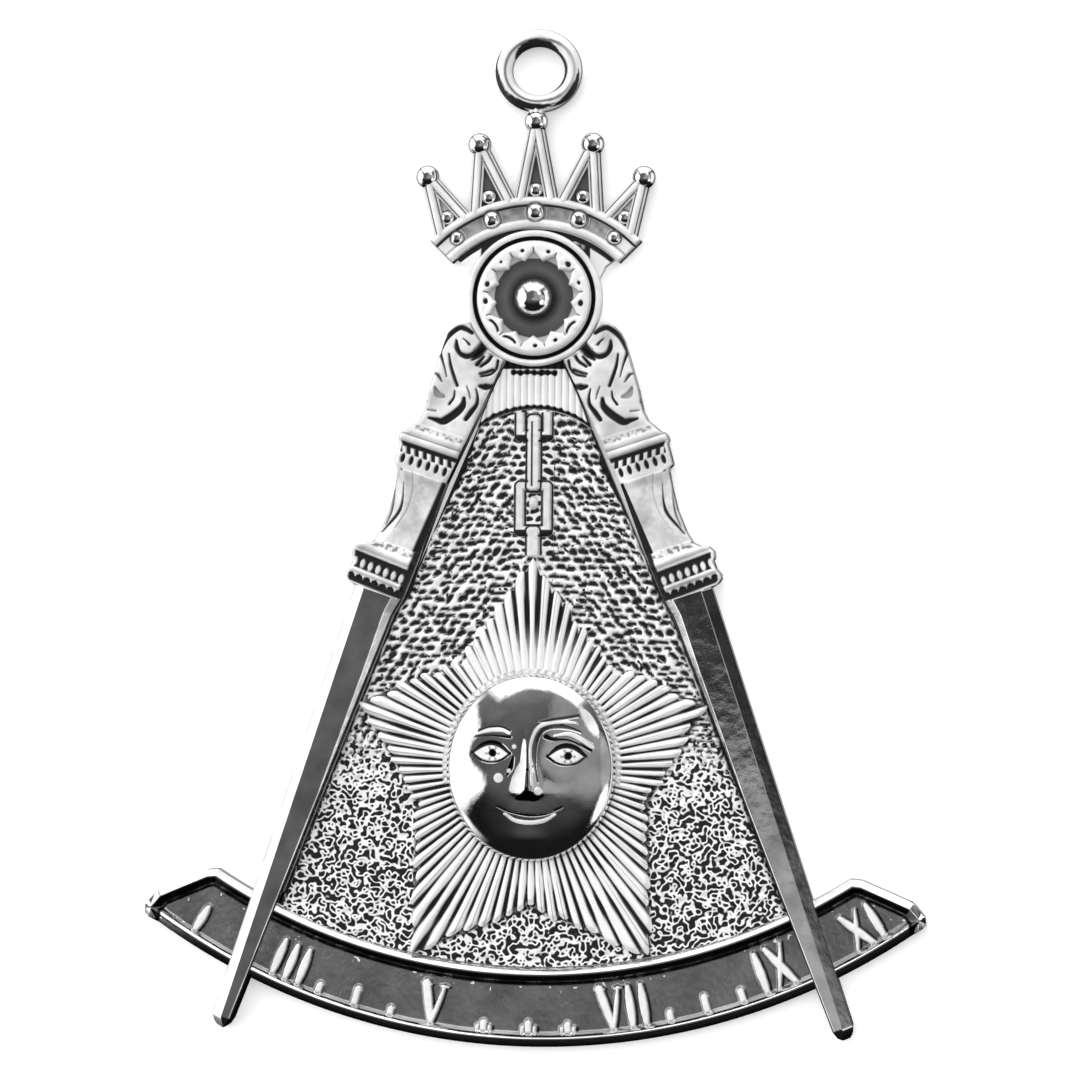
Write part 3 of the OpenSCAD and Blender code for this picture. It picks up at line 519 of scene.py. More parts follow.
def scales(x, y):
    """Stippling: height of the ground, and the pits that were punched into it, which are given painted shade.
    """
    turn = sstep(-y, *MAZE)
    wide, tall = 0.98 - 0.2 * turn, 0.72 - 0.06 * turn
    wx = (x + 0.22 * noise(x, y, 1.6, 5)) / wide
    wy = (y + 0.22 * noise(x, y, 1.4, 6)) / tall
    row = np.floor(wy)
    wx = wx + 0.5 * (row % 2)
    col = np.floor(wx)
    table = np.random.default_rng(12).uniform(-1, 1, (4, 211, 197))
    pits = np.zeros(x.shape)
    slope = -0.3 * np.clip(x / 5, -1, 1) + 0.8 * turn
    for di in (-1, 0, 1):
        for dj in (-1, 0, 1):
            j = row + dj
            shift = 0.5 * ((j % 2) - (row % 2))
            i = col + di
            # a pit's own shift and thickness, its drop, its lean and its length
            a, c, e, g = (table[n, i.astype(int) % 211, j.astype(int) % 197] for n in range(4))
            dx = (wx + shift - i - 0.5 - 0.16 * a) * wide
            dy = (wy - j - 0.5 - 0.17 * c) * tall
            lean = slope + 0.45 * e
            p, q = dx * np.cos(lean) + dy * np.sin(lean), dy * np.cos(lean) - dx * np.sin(lean)
            far = np.hypot(p / (0.49 + 0.09 * g), (q + 0.25 * p * p) / (0.25 + 0.045 * a))
            pits = most(pits, sstep(1 - far - 1.1 * turn ** 3, -0.12, 0.2))
    return 0.5 + 0.5 * noise(x, y, 0.5, 7) - pits, pits


def make_field():
    b = Build()
    low_r = ARC_IN - 0.1
    v_low, v_high, top_y = 63.9, 12.8, -9.9
    t, s = grid(300, 262)
    v = v_low + (v_high - v_low) * t
    ex, ey = leg_spot(inner_u(v) - 0.1, v)
    x = s * ex
    mid = (-ARC_DROP - low_r) + (top_y + ARC_DROP + low_r) * t
    y = mid + (ey - mid) * s * s
    low = -ARC_DROP - np.sqrt(most(low_r ** 2 - x ** 2, 0))
    y = np.where(t < 0.12, low + (y - low) * sstep(t, 0, 0.12), y)
    side = (1 - np.abs(s)) * ex
    ground, pits = scales(x, y)
    q = y + SUN_DROP
    star = glory_r(np.degrees(np.arctan2(q, x))) - np.hypot(x, q)
    bare = (1 - sstep(star, 0.1, 0.5)) * sstep(side, 0.2, 0.35)
    shadow = look(v, [(13, 0.3), (15.5, 0.35), (16.5, 0.75), (19, 0.45), (22, 0.15), (26, 0.15), (28, 0.35),
                      (30, 0.2)]) + 0.12 * noise(x, y, 0.5, 8)
    edge = sstep(shadow - side, -0.06, 0.06)
    # a painted shadow round the lower part of the glory's outline, near the face
    round_star = sstep(star, -0.3, -0.05) * (1 - sstep(star, 0.3, 0.5)) * (q < 8)
    # painted shade in the stipple's pits and in a strip along the legs' inner edges
    deep = most(pits * bare, edge, 0.9 * round_star)
    z = PLATE_Z - 0.3 + 0.28 * ground * bare - 0.2 * edge
    b.relief(x, y, z, deep=deep)
    b.make("stippled_field", [STIPPLED], "field_plate")


def make_chain():
    b = Build()
    rows, cols = 250, 80
    x, y = np.meshgrid(np.linspace(-1.8, 1.8, cols), np.linspace(-23.0, -10.2, rows))

    def link(y1, y2, w, wire, up):
        """A link's height, its outline of painted shade and its body; a link without wire is solid."""
        r = min(0.45, w / 2)
        dx, dy = np.abs(x) - (w / 2 - r), np.abs(y - (y1 + y2) / 2) - ((y2 - y1) / 2 - r)
        d = np.hypot(most(dx, 0), most(dy, 0)) + np.minimum(most(dx, dy), 0) - r
        inside = np.minimum(-d, wire + d) if wire else -d
        outline = within(inside + 0.05, 0.13, 0, 0.06)
        return up * sstep(inside, 0.0, 0.22), outline, sstep(inside, 0.1, 0.3)

    # painted shadows at the foot of the wide links' side bars, and a line of painted shade down the narrow
    # link
    foot = within(y + 12.45, 0.3, 0, 0.1) + within(y + 20.95, 0.3, 0, 0.1)
    foot = foot * (np.abs(x) > 0.7) * (np.abs(x) < 1.6)
    slot = within(x + 0.12, 0.09, -0.03, 0.03) * (np.abs(y + 13.9) < 2.9)
    links = [link(-12.7, -4, 3.3, 0.85, 0.42), link(-21.2, -16.4, 3.3, 0.85, 0.42),
             link(-17.3, -10.4, 1.25, 0, 0.6), link(-24, -20.4, 1.25, 0, 0.6)]
    h = np.zeros(x.shape)
    edge = np.zeros(x.shape)
    for up, outline, body in links:
        h = most(h, up)
        edge = most(edge * (1 - body), outline)
    eye = np.hypot(x, (y + 18.3) / 1.5)
    h = most(h, 0.45 * dome(eye / 0.42))
    ground, pits = scales(x, y)
    bare = (h < 0.04) * (1 - edge)
    z = PLATE_Z - 0.05 + np.where(h < 0.04, 0.1 * ground, h)
    grey = 0.12 + 0.1 * noise(x, y, 0.4, 9)
    # painted shade on the outlines, in the pits, at the feet and in the slot; the mottled grey on the links
    # is a random tone
    deep = most(edge, pits * bare, grey * (h > 0.04), foot, slot)
    b.relief(x, y, z, base=PLATE_Z - 0.35, deep=deep)
    b.make("fine_chain", [SATIN], "chain_relief")


# Sun

SUN_W, SUN_H, SUN_Z = 7.62, 8.38, 2.1
RAYS = 86


def make_glory():
    b = Build()
    per, rows = 12, 50
    cols = RAYS * per
    ang = full_turn(cols, 360)
    rad = np.radians(ang)
    ray = ang * RAYS / 360
    frac = ray - np.floor(ray)
    k = np.floor(ray).astype(int) % RAYS
    rnd = np.random.default_rng(21)
    tall = rnd.uniform(0.8, 1.15, RAYS)[k]
    cut = rnd.uniform(-0.35, 0.35, RAYS)[k]
    thin = rnd.uniform(-0.1, 0.16, RAYS)[k]
    split = (rnd.uniform(0, 1, RAYS) > 0.6)[k]
    across = np.abs(2 * frac - 1)
    inner = 1 / np.sqrt((np.cos(rad) / SUN_W) ** 2 + (np.sin(rad) / SUN_H) ** 2) - 0.15
    outer = glory_r(ang) + 0.15 + cut - 0.55 * across ** 2
    s = np.linspace(0, 1, rows)[:, None] ** 1.1
    r = inner + (outer - inner) * s
    width = 2 * math.pi * r / RAYS
    ridge = dome(across / (0.8 - thin))
    past = r - inner
    low = np.sin(rad) < -0.2
    start = np.where(low, sstep(past, 0.05, 0.3), sstep(past, 0.35, 0.6))
    end = sstep(outer - r, 0.0, 0.6)
    h = 0.1 + np.minimum(0.48, 0.44 * width) * tall * ridge * start * (0.35 + 0.65 * end)
    x, y = r * np.cos(rad), r * np.sin(rad) - SUN_DROP
    # the gaps between the rays carry painted shade, fainter and narrower just above the face, where the rays
    # lie close together and the light from above fills them
    above = 1 - sstep(np.abs(((ang - 95) + 180) % 360 - 180), 15, 40)
    narrow = above * (1 - sstep(past, 1.5, 5.0))
    faint = 1 - 0.5 * narrow
    wide_gap = 0.16 * noise(x, y, 2.2, 22) - 0.24 * narrow
    gap = sstep(across + wide_gap, 0.6 - thin, 0.76 - thin)
    deep = gap * faint * np.where(low, 1.0, sstep(past, 0.45, 0.7))
    # a line of painted shade along the split of some rays
    score = split * within(across * np.sign(frac - 0.5) - 0.12, 0.1, 0, 0.06)
    deep = most(deep, 0.6 * score * sstep(s, 0.2, 0.45) * faint)
    ball = np.hypot((((ang * 75 / 360) % 1) - 0.5) * 4.8 * r / RAYS, past - 0.34)
    bead = sstep(0.24 - ball, 0, 0.1)
    ring = within(past - 0.4, 0.22, 0, 0.08) * (1 - bead)
    # below the face a painted shadow next to its rim; above it a faint dark ring round the beads
    deep = most(deep, np.where(low, sstep(0.22 - past, 0, 0.1), 0.35 * ring))
    h = h + 0.16 * bead * ~low
    b.relief(x, y, PLATE_Z + h, base=PLATE_Z - 0.4, wrap=True, deep=deep)
    b.make("glory_of_rays", [RAY], "sun_glory")


def face_height(x, y):
    """Height of the sun's face, measured from its own middle, how satin a spot is and how dark."""
    rho = np.clip(np.sqrt((x / SUN_W) ** 2 + (y / SUN_H) ** 2), 0, 1)
    z = 1.85 * (1 - rho ** 2) + 0.6 * np.sqrt(1 - rho ** 16)
    f = np.zeros(x.shape)
    satin = np.zeros(x.shape)
    deep = np.zeros(x.shape)

    def line(points, widths, dark=1.0, up=-0.04, bright=0.0):
        """A groove or a ridge along a curve, with painted shade of the given darkness along it."""
        nonlocal f, deep, satin
        on = stroke(x, y, points, widths, 0.05)
        f = f + up * on
        deep = deep * (1 - on) + dark * on
        satin = satin * (1 - on) + bright * on

    def pale(points, widths, up=0.08):
        """A white ridge along a curve."""
        line(points, widths, 0.0, up, 1.0)

    # cheeks, chin and the nose's body
    for s in (-1, 1):
        f += 0.12 * np.exp(-((x - s * 3.1) / 1.8) ** 2 - ((y + 2.0) / 1.7) ** 2)
    f += 0.16 * np.exp(-(x / 1.6) ** 2 - ((y + 6.4) / 0.9) ** 2)
    nose_w = look(y, [(-3.0, 0.5), (-2.2, 1.0), (-1.4, 0.85), (0.5, 0.45), (2.5, 0.4), (3.5, 0.6)])
    nose_h = look(y, [(-2.8, 0), (-2.3, 0.4), (-1.9, 0.6), (-1.3, 0.58), (0.5, 0.36), (2.2, 0.2), (3.6, 0.0)])
    f += nose_h * np.exp(-np.abs(x / nose_w) ** 2.2)
    # eyes
    for ex, ey, half, tall in ((-3.35, 1.35, 1.75, 0.86), (3.4, 1.15, 1.7, 0.86)):
        u = (x - ex) / half
        socket = np.exp(-np.abs(u) ** 2.4 - np.abs((y - ey - 0.1) / 1.4) ** 2.4)
        f -= 0.16 * socket
        lids = np.clip(1 - u ** 2, 0, 1)
        gap = np.minimum(ey + tall * lids - y, y - ey + 0.85 * tall * lids)
        ball = sstep(gap, 0.0, 0.1) * (np.abs(u) < 1)
        f += ball * (0.25 - 0.15 * ((x - ex) ** 2 / 3.4 + (y - ey) ** 2 / 1.1))
        deep = deep * (1 - ball)
        satin = most(satin, ball)
        for side, top, widths in ((0.8, 1.08, [0.2, 0.4, 0.46, 0.42, 0.24]),
                                  (-0.7, -0.92, [0.3, 0.22, 0.14, 0.16, 0.2])):
            lid = zip((-1, -0.5, 0, 0.5, 1), (0, side, top, side, 0))
            line([(ex + p * half, ey + q * tall) for p, q in lid], widths)
        out = np.hypot(x - ex - 0.15, y - ey - 0.04)
        pupil = sstep(0.36 - out, -0.06, 0.06)
        flecks = np.clip(np.cos(6 * np.arctan2(y - ey, x - ex - 0.15)), 0, 1)
        iris = sstep(0.68 - out) * 0.7 * flecks
        deep = most(deep, iris * ball)
        deep, satin, f = most(deep, pupil), satin * (1 - pupil), f - 0.12 * pupil
    # folds above the eyes
    pale([(-4.9, 2.95), (-3.7, 3.35), (-2.4, 3.4), (-1.7, 3.1)], [0.1, 0.34, 0.34, 0.15])
    line([(-4.5, 3.35), (-3.6, 3.66), (-2.5, 3.72), (-1.6, 3.35)], [0.08, 0.17, 0.17, 0.12])
    line([(-4.9, 2.85), (-3.3, 2.93), (-1.6, 2.8)], [0.06, 0.14, 0.25])
    pale([(2.3, 2.95), (3.6, 3.1), (4.7, 2.6), (5.6, 2.0)], [0.15, 0.32, 0.36, 0.4])
    line([(1.55, 2.9), (2.2, 2.65), (3.4, 2.62), (4.5, 2.2), (5.5, 1.7)], [0.45, 0.2, 0.15, 0.18, 0.3])
    # right brow, which runs down into the bridge of the nose
    line([(0.9, -1.1), (0.62, 0.6), (0.65, 2.2), (1.1, 3.3), (2.0, 3.75), (3.4, 3.7), (4.6, 3.3)],
         [0.16, 0.22, 0.35, 0.45, 0.4, 0.32, 0.12], 0.75, -0.1)
    line([(1.0, 4.2), (2.0, 4.4), (3.1, 4.55), (4.3, 4.75)], [0.15, 0.3, 0.3, 0.3], 0.85)
    pale([(0.45, -1.4), (0.3, 0.4), (0.28, 2.2), (0.75, 3.5), (1.6, 4.0), (2.9, 4.2), (4.2, 4.05)],
         [0.2, 0.2, 0.22, 0.26, 0.3, 0.28, 0.15])
    line([(0.08, -1.4), (0.0, 0.2), (0.0, 1.9)], [0.14, 0.14, 0.08], 0.9, 0.0)
    # nose, with painted shade beside it and under it
    pale([(-0.45, 0.85), (-0.7, 0.0), (-0.95, -0.9), (-1.3, -1.75)], [0.2, 0.7, 1.0, 0.75], 0.0)
    line([(-1.35, 1.0), (-1.6, 0.0), (-1.9, -0.6)], [0.3, 0.55, 0.2])
    line([(-0.95, -2.6), (-0.1, -2.35), (0.6, -2.5), (1.25, -2.3)], [0.35, 0.85, 0.75, 0.4], 1.0, 0.0)
    line([(0.0, -1.6), (-0.1, -2.2)], [0.3, 0.8], 1.0, 0.0)
    dot = sstep(0.34 - np.hypot(x - 0.95, y + 1.95))
    deep, satin, f = deep * (1 - dot), most(satin, dot), f + 0.14 * dot
    for bx, by, r in ((-2.65, -0.8, 0.42), (-1.7, -0.15, 0.2), (-1.25, 2.0, 0.2)):
        dot = sstep(r - np.hypot(x - bx, y - by), -0.06, 0.06)
        deep, satin = deep * (1 - dot), most(satin, dot)
    # mouth
    line([(-2.75, -3.4), (-1.75, -3.8), (-0.1, -4.1), (1.5, -4.0), (3.0, -3.4)],
         [0.15, 0.2, 0.26, 0.2, 0.15], 1.0, -0.08)
    pale([(-2.05, -4.05), (-1.2, -4.6), (0.1, -4.8), (1.4, -4.6), (2.35, -4.05)],
         [0.22, 0.32, 0.36, 0.34, 0.2], 0.12)
    fade = 1 - rho ** 8
    return z + f * fade, satin, deep


def make_face():
    b = Build()
    rows, cols = 196, 400
    a = np.radians(full_turn(cols, 360))[None, :]
    s = (np.linspace(1, 0.004, rows)[:, None]) ** 0.72
    x, y = s * SUN_W * np.cos(a), s * SUN_H * np.sin(a)
    z, satin, deep = face_height(x, y)
    b.relief(x, y - SUN_DROP, SUN_Z + 0.12 + z, base=SUN_Z - 0.5, wrap=True, satin=satin, deep=deep)
    b.make("face_of_the_sun", [FACE], "sun_face")


# Legs

# Where the shank starts
SHANK = 29.4
# Grooves of a scroll: spots (u, v) along it, the groove's widths and how dark its painted shade is
SCROLL_GROOVES = [
    ([(4.3, 4.7), (4.9, 4.55), (5.45, 4.6), (5.95, 5.15), (6.3, 5.9), (6.45, 6.7), (6.45, 7.25), (6.05, 7.85),
      (5.7, 8.35), (5.2, 9.15)], [0.35, 0.45, 0.45, 0.45, 0.4, 0.38, 0.3, 0.18, 0.12, 0.08], 1),
    ([(5.65, 7.15), (5.2, 8.05), (4.6, 8.9), (4.05, 9.6)], [0.16, 0.26, 0.3, 0.26], 1),
    ([(5.4, 5.8), (5.15, 6.4), (4.7, 6.8), (4.1, 6.85), (3.65, 6.6), (3.3, 6.1), (3.05, 5.45), (3.1, 4.95),
      (3.5, 4.8)], [0.2, 0.45, 0.4, 0.5, 0.45, 0.55, 0.6, 0.5, 0.3], 1),
    ([(4.85, 5.45), (4.55, 5.55), (4.2, 5.75)], [0.1, 0.14, 0.24], 0.9),
    ([(2.7, 5.7), (3.05, 6.35), (3.5, 6.95)], [0.4, 0.55, 0.25], 1),
    ([(2.6, 6.4), (2.95, 7.25)], [0.25, 0.35], 1),
    ([(1.95, 6.1), (2.1, 6.65), (2.6, 7.3)], [0.3, 0.3, 0.25], 1),
    ([(1.45, 7.25), (1.95, 7.65), (2.45, 7.95)], [0.25, 0.25, 0.2], 1),
    ([(1.25, 6.35), (1.2, 7.1), (1.55, 7.7), (2.25, 8.1)], [0.25, 0.25, 0.25, 0.25], 1),
    ([(0.85, 8.2), (1.1, 8.65), (1.7, 8.95), (2.1, 9.0)], [0.25, 0.35, 0.6, 0.3], 1),
    ([(3.1, 10.5), (3.0, 11.15), (3.3, 11.85), (3.8, 12.55), (4.3, 13.05), (4.9, 13.1), (5.55, 13.15)],
     [0.3, 0.6, 0.7, 0.7, 0.7, 0.45, 0.2], 1),
    ([(2.35, 9.35), (2.0, 9.95), (1.85, 10.65), (2.1, 11.45), (2.35, 12.2)], [0.1, 0.22, 0.35, 0.45, 0.4], 1),
    ([(3.2, 9.4), (2.8, 9.9), (2.55, 10.35)], [0.08, 0.14, 0.08], 0.7),
    ([(4.1, 10.15), (4.0, 10.75), (4.2, 11.4)], [0.12, 0.2, 0.22], 1),
    ([(6.65, 9.3), (6.1, 9.2), (5.45, 9.7)], [0.08, 0.28, 0.1], 0.85),
    ([(5.9, 10.4), (5.45, 10.9), (4.9, 10.9)], [0.2, 0.6, 0.3], 0.5),
    ([(6.4, 11.4), (6.3, 11.85)], [0.25, 0.35], 0.85),
    ([(6.7, 10.35), (6.65, 10.65)], [0.15, 0.2], 0.6),
    ([(5.9, 12.5), (5.15, 12.35)], [0.1, 0.14], 0.6),
    ([(6.85, 7.85), (6.4, 8.55)], [0.08, 0.14], 0.4)]
# Lines of the lens on a waist's outer side, cut in and dark with painted shade
WAIST_GROOVES = [
    ([(5.87, 19.3), (5.45, 21.05), (5.5, 22.15), (6.1, 23.6), (6.35, 24.2)],
     [0.06, 0.15, 0.3, 0.25, 0.12], 1),
    ([(6.45, 20.2), (6.15, 22.1), (6.25, 23.5)], [0.06, 0.2, 0.1], 0.85),
    ([(5.4, 18.2), (4.87, 19.8), (4.82, 21.7), (5.3, 23.45)], [0.1, 0.1, 0.1, 0.08], 0.3),
    ([(6.55, 18.1), (6.4, 18.3)], [0.25, 0.2], 0.9)]


def leg_outer(v):
    """How far out a leg reaches at v along it."""
    return look(v, [
        (3.86, 4.8), (3.95, 5.2), (4.15, 5.6), (4.6, 6.05), (5.3, 6.4), (6.2, 6.52), (8, 6.5), (10.6, 6.4),
        (12.6, 6.2), (13.6, 6.35), (14.4, 6.9), (14.9, 7.2), (15.0, 7.45), (15.35, 7.62), (15.8, 7.62),
        (16.1, 7.4), (18.0, 7.3), (18.2, 6.9), (18.5, 6.75), (20, 6.55), (22, 6.4), (24, 6.55), (25.2, 6.85),
        (25.7, 7.4), (25.95, 8.1), (26.5, 8.42), (27.0, 8.3), (27.3, 8.05), (28.0, 8.1), (28.6, 8.35),
        (29.0, 8.3), (29.35, 7.9), (29.5, 7.2), (70.3, 7.2), (71.0, 6.95), (71.4, 6.55)])


def leg_inner(v):
    """Where a leg starts on its inner side, outside the hinge's flange."""
    flange_r = 6.15
    circle = np.sqrt(np.clip(flange_r ** 2 - v ** 2, 0, None))
    rim = look(v, [(3.8, 0.8), (6, 0.8), (18.2, 2.24), (25.9, 2.5), (29.4, 2.75), (31, 3.1), (70.3, 5.35),
                   (71.0, 5.55), (71.4, 5.95)])
    return most(rim, circle * (v < flange_r))


def leg_surface(u, v, u1, u2):
    """Height of a leg, how dark a spot is and how satin."""
    top = 2.7
    d1, d2 = u - u1, u2 - u
    edge = np.clip(1 - np.minimum(d1, d2) / 0.4, 0, 1)
    round_side = 0.45 * (1 - dome(edge))

    def across(at, wide, w=v):
        """1 on a bar of that width across the leg."""
        return 1 - sstep(np.abs(w - at), wide / 2 - 0.05, wide / 2 + 0.05)

    def apart(first, pitch, slant=0.0, at=0.0):
        """Distance along a row from the middle of its nearest tooth."""
        return ((u + slant * (v - at) - first) / pitch + 0.5) % 1 * pitch - pitch / 2

    def engrave(z, deep, grooves, depth):
        for points, widths, tone in grooves:
            on = stroke(u, v, points, widths)
            z, deep = z - depth * on, most(deep, tone * on)
        return z, deep

    # shank: a flat mirror face between two slopes, with a painted shadow line along its inner edge
    inner_w = look(v, [(29.4, 0.85), (36, 0.55), (48, 0.22), (72, 0.2)])
    z_shank = top - 0.8 * np.clip(0.95 - d2, 0, None) - 0.95 * np.clip(inner_w - d1, 0, None)
    z_shank -= 0.9 * sstep(v, 70.2, 71.4)
    deep_shank = sstep(0.14 - d1, -0.04, 0.04)

    # upper collar: two mouldings, a row of teeth and a row of oval holes, with painted shade in its grooves,
    # between the teeth and in the holes; a rough band has a mottled tone
    rough = sstep(noise(u, v, 0.22, 41), -0.1, 0.5)
    z_up = top - 0.15 + 0.2 * dome((v - 14.78) / 0.3) + 0.35 * dome((v - 15.45) / 0.34)
    tooth = within(apart(2.9, 0.78, 0.35, 16.4), 0.19)
    hole = sstep(1 - np.hypot(apart(2.65, 0.8) / 0.2, (v - 17.3) / 0.42), -0.2, 0.2)
    dark = most(across(16.02, 0.42), across(16.48, 0.66) * (1 - tooth), hole * (u > 2.2))
    dark = dark * sstep(d2, 0.25, 0.4)
    z_up = z_up - round_side - 0.3 * dark
    deep_up = most(dark, 0.6 * rough * across(14.3, 0.45), 0.85 * across(15.12, 0.1))

    # waist: a pale face with a lens on its outer side, a painted shadow strip along its inner side and a
    # mottled grey tone
    share = (v - 18.2) / 7.7
    lens = 6.75 - 1.55 * np.sin(np.pi * np.clip(share * 0.92 + 0.06, 0, 1)) ** 0.8
    z_waist = top - 0.25 + 0.2 * sstep(np.abs(share - 0.5), 0.38, 0.5) - 0.5 * np.clip(u - lens, 0, None)
    strip = sstep(0.3 + 0.06 * (v - 18) - d1)
    z_waist = z_waist - 0.5 * strip
    deep_waist = most(strip, 0.1 + 0.12 * noise(u, v, 0.35, 42) + 0.1 * noise(u, v, 1.2, 43))
    z_waist, deep_waist = engrave(z_waist, deep_waist, WAIST_GROOVES, 0.15)

    # lower collar: moulding, panels, white teeth on painted shade, moulding, scallops and a groove in painted
    # shade, and a painted shadow along its inner edge; a rough band has a mottled tone
    w = v + 0.05 * (u - 5)
    z_low = top - 0.15 + 0.35 * dome((w - 25.98) / 0.34) + 0.3 * dome((w - 28.22) / 0.24)
    tooth = sstep(1 - np.hypot(apart(3.35, 0.745) / 0.23, (w - 27.57) / 0.42), -0.2, 0.2)
    panel = within(apart(3.2, 1.25), 0.4, -0.1, 0.1) * across(26.5, 0.2, w)
    bulge = np.hypot(apart(3.93, 0.765), w - 28.92) < 0.36
    dark = most(across(27.32, 1.42, w) * (1 - tooth) * (1 - 0.9 * panel), bulge, across(29.12, 0.45, w))
    dark = most(dark * sstep(d2, 0.25, 0.4), sstep(0.5 - d1))
    z_low = z_low - round_side - 0.3 * dark
    deep_low = most(dark, 0.7 * rough * across(25.3, 0.6))

    # scroll, with painted shade in its grooves and a mottled tone
    z_scroll = top - 0.15 - round_side + 0.08 * noise(u, v, 1.0, 44)
    deep_scroll = 0.12 * sstep(noise(u, v, 0.9, 45), 0.1, 0.8)
    z_scroll, deep_scroll = engrave(z_scroll, deep_scroll, SCROLL_GROOVES, 0.4)

    def pick(scroll, upper, waist, lower, shank):
        return np.select([v < 13.9, v < 18.2, v < 25.0, v < SHANK], [scroll, upper, waist, lower], shank)

    z = pick(z_scroll, z_up, z_waist, z_low, z_shank)
    deep = pick(deep_scroll, deep_up, deep_waist, deep_low, deep_shank)
    # a thin line of painted shade along the leg's outer edge
    deep = most(deep, 0.5 * sstep(0.09 - d2, -0.03, 0.03))
    return z, deep, np.where(v < SHANK, 1.0, 0.0)


def make_leg(side, name, node):
    """One leg; side is -1 for the left one and 1 for the right one."""
    b = Build()
    fine, coarse = 0.075, 0.25
    v = np.concatenate([np.arange(3.87, 30, fine), np.arange(30, 70, coarse), np.arange(70, 71.41, fine)])
    v = v[:, None]
    u1, u2 = leg_inner(v), leg_outer(v)
    u = u1 + (u2 - u1) * np.linspace(0, 1, 86)
    v = np.broadcast_to(v, u.shape)
    z, deep, satin = leg_surface(u, v, u1, u2)
    x, y = leg_spot(u, v)
    b.relief(side * x, y, z, deep=deep, satin=satin)
    b.make(name, [FACE], node)


# Hinge

# The crown's band is an arc round a middle that lies CROWN_DROP below the hinge's centre
CROWN_DROP, BAND_IN, BAND_OUT, BAND_END = 4.3, 10.65, 13.45, 45.2


def make_head():
    b = Build()
    # fan of upright ribs between the legs' heads, with painted shade in the grooves between the ribs, along
    # its lower arch and its sides, in a notch and in a ragged line across it, and a painted shadow under the
    # flange
    v_high, v_low, low_y, pitch = 6.1, 12.65, -9.85, 0.62
    t, s = grid(120, 204)
    v = v_high + (v_low - v_high) * t
    ex, ey = leg_spot(inner_u(v) - 0.12, v)
    x = s * ex
    end_x, end_y = leg_spot(inner_u(v_low) - 0.12, v_low)
    rise = low_y - end_y
    curve = (end_x ** 2 + rise ** 2) / (2 * rise)
    low = low_y - curve + np.sqrt(curve ** 2 - x ** 2)
    y_hi = np.broadcast_to(ey[0:1], x.shape)
    y = y_hi * (1 - t) + low * t
    y = np.where(t < 0.02, y_hi + 0.6, y)
    rib = ((x / pitch) % 1 - 0.5) * 2
    groove = sstep(np.abs(rib), 0.72, 1.0) * (0.22 + 0.14 * noise(x, y, 0.8, 51))
    side = (1 - np.abs(s)) * ex
    ragged = 0.05 * np.cos(x / pitch * 2 * math.pi) + 0.07 * noise(x, y, 0.5, 52)
    notch = sstep(0.42 - np.hypot(x, (y + 10.0) * 1.2))
    cross_line = within(y + 6.62, 0.2 + 1.2 * ragged) * (np.abs(x) < 2.1)
    dark = most(sstep(0.3 + ragged - (y - low)), sstep(0.16 - side, -0.04, 0.04), notch, cross_line,
                sstep(y, -6.33, -6.27))
    z = 1.5 + 0.32 * dome(rib) - 0.35 * dark
    b.relief(x, y, z, deep=most(dark, groove))
    # neck behind the flange and under the crown's band, in painted shade but for a few lumps, darkest under
    # the band
    neck_w, reach = 7.1, 4.9
    t, x = grid(50, 180, -neck_w, neck_w)
    high = -CROWN_DROP + np.sqrt((BAND_IN - 0.1) ** 2 - x ** 2)
    low = look(np.abs(x), [(0, -2), (5.0, -2), (5.75, 1.8), (6.3, 2.9), (neck_w, 3.5)])
    y = low + (high - low) * t
    x = np.broadcast_to(x, y.shape)
    down = high - y
    lump = sstep(noise(x, y, 0.55, 53), 0.1, 0.5) * within(down - 0.75, 0.35, 0, 0.15) * (np.abs(x) < 4.6)
    dark = (1 - lump) * (np.hypot(x, y) > 5.7) * (np.abs(x) < reach)
    dark = most(sstep(0.55 - down), dark)
    z = 1.4 + 0.2 * lump - 0.25 * dark
    b.relief(x, y, z, deep=dark)
    # disc under the flange
    b.turned([(0.01, 0, 0), (6.0, 0, 0), (6.0, 1.45, 0), (0.01, 1.45, 0)])
    b.make("ribbed_head", [SATIN], "head_plate")


def make_flange():
    b = Build()
    lip = [(5.8 + 0.26 * math.cos(a), 2.32 + 0.26 * math.sin(a), 0) for a in np.linspace(0, math.pi, 14)]
    # a groove near the rim and the flat top round the ball carry painted shade
    b.turned([(0.01, 1.5, 0), (6.08, 1.5, 0), (6.08, 2.28, 0)] + lip
           + [(5.52, 2.3, 1), (5.47, 1.8, 1), (5.22, 1.8, 1), (5.17, 2.2, 1), (5.12, 2.3, 0), (3.6, 2.3, 0.4),
              (3.5, 2.3, 0.93), (2.6, 2.3, 0.88), (1.9, 2.3, 0.98), (0.01, 2.3, 1)])
    b.make("turned_flange", [FLANGE], "hinge_flange")


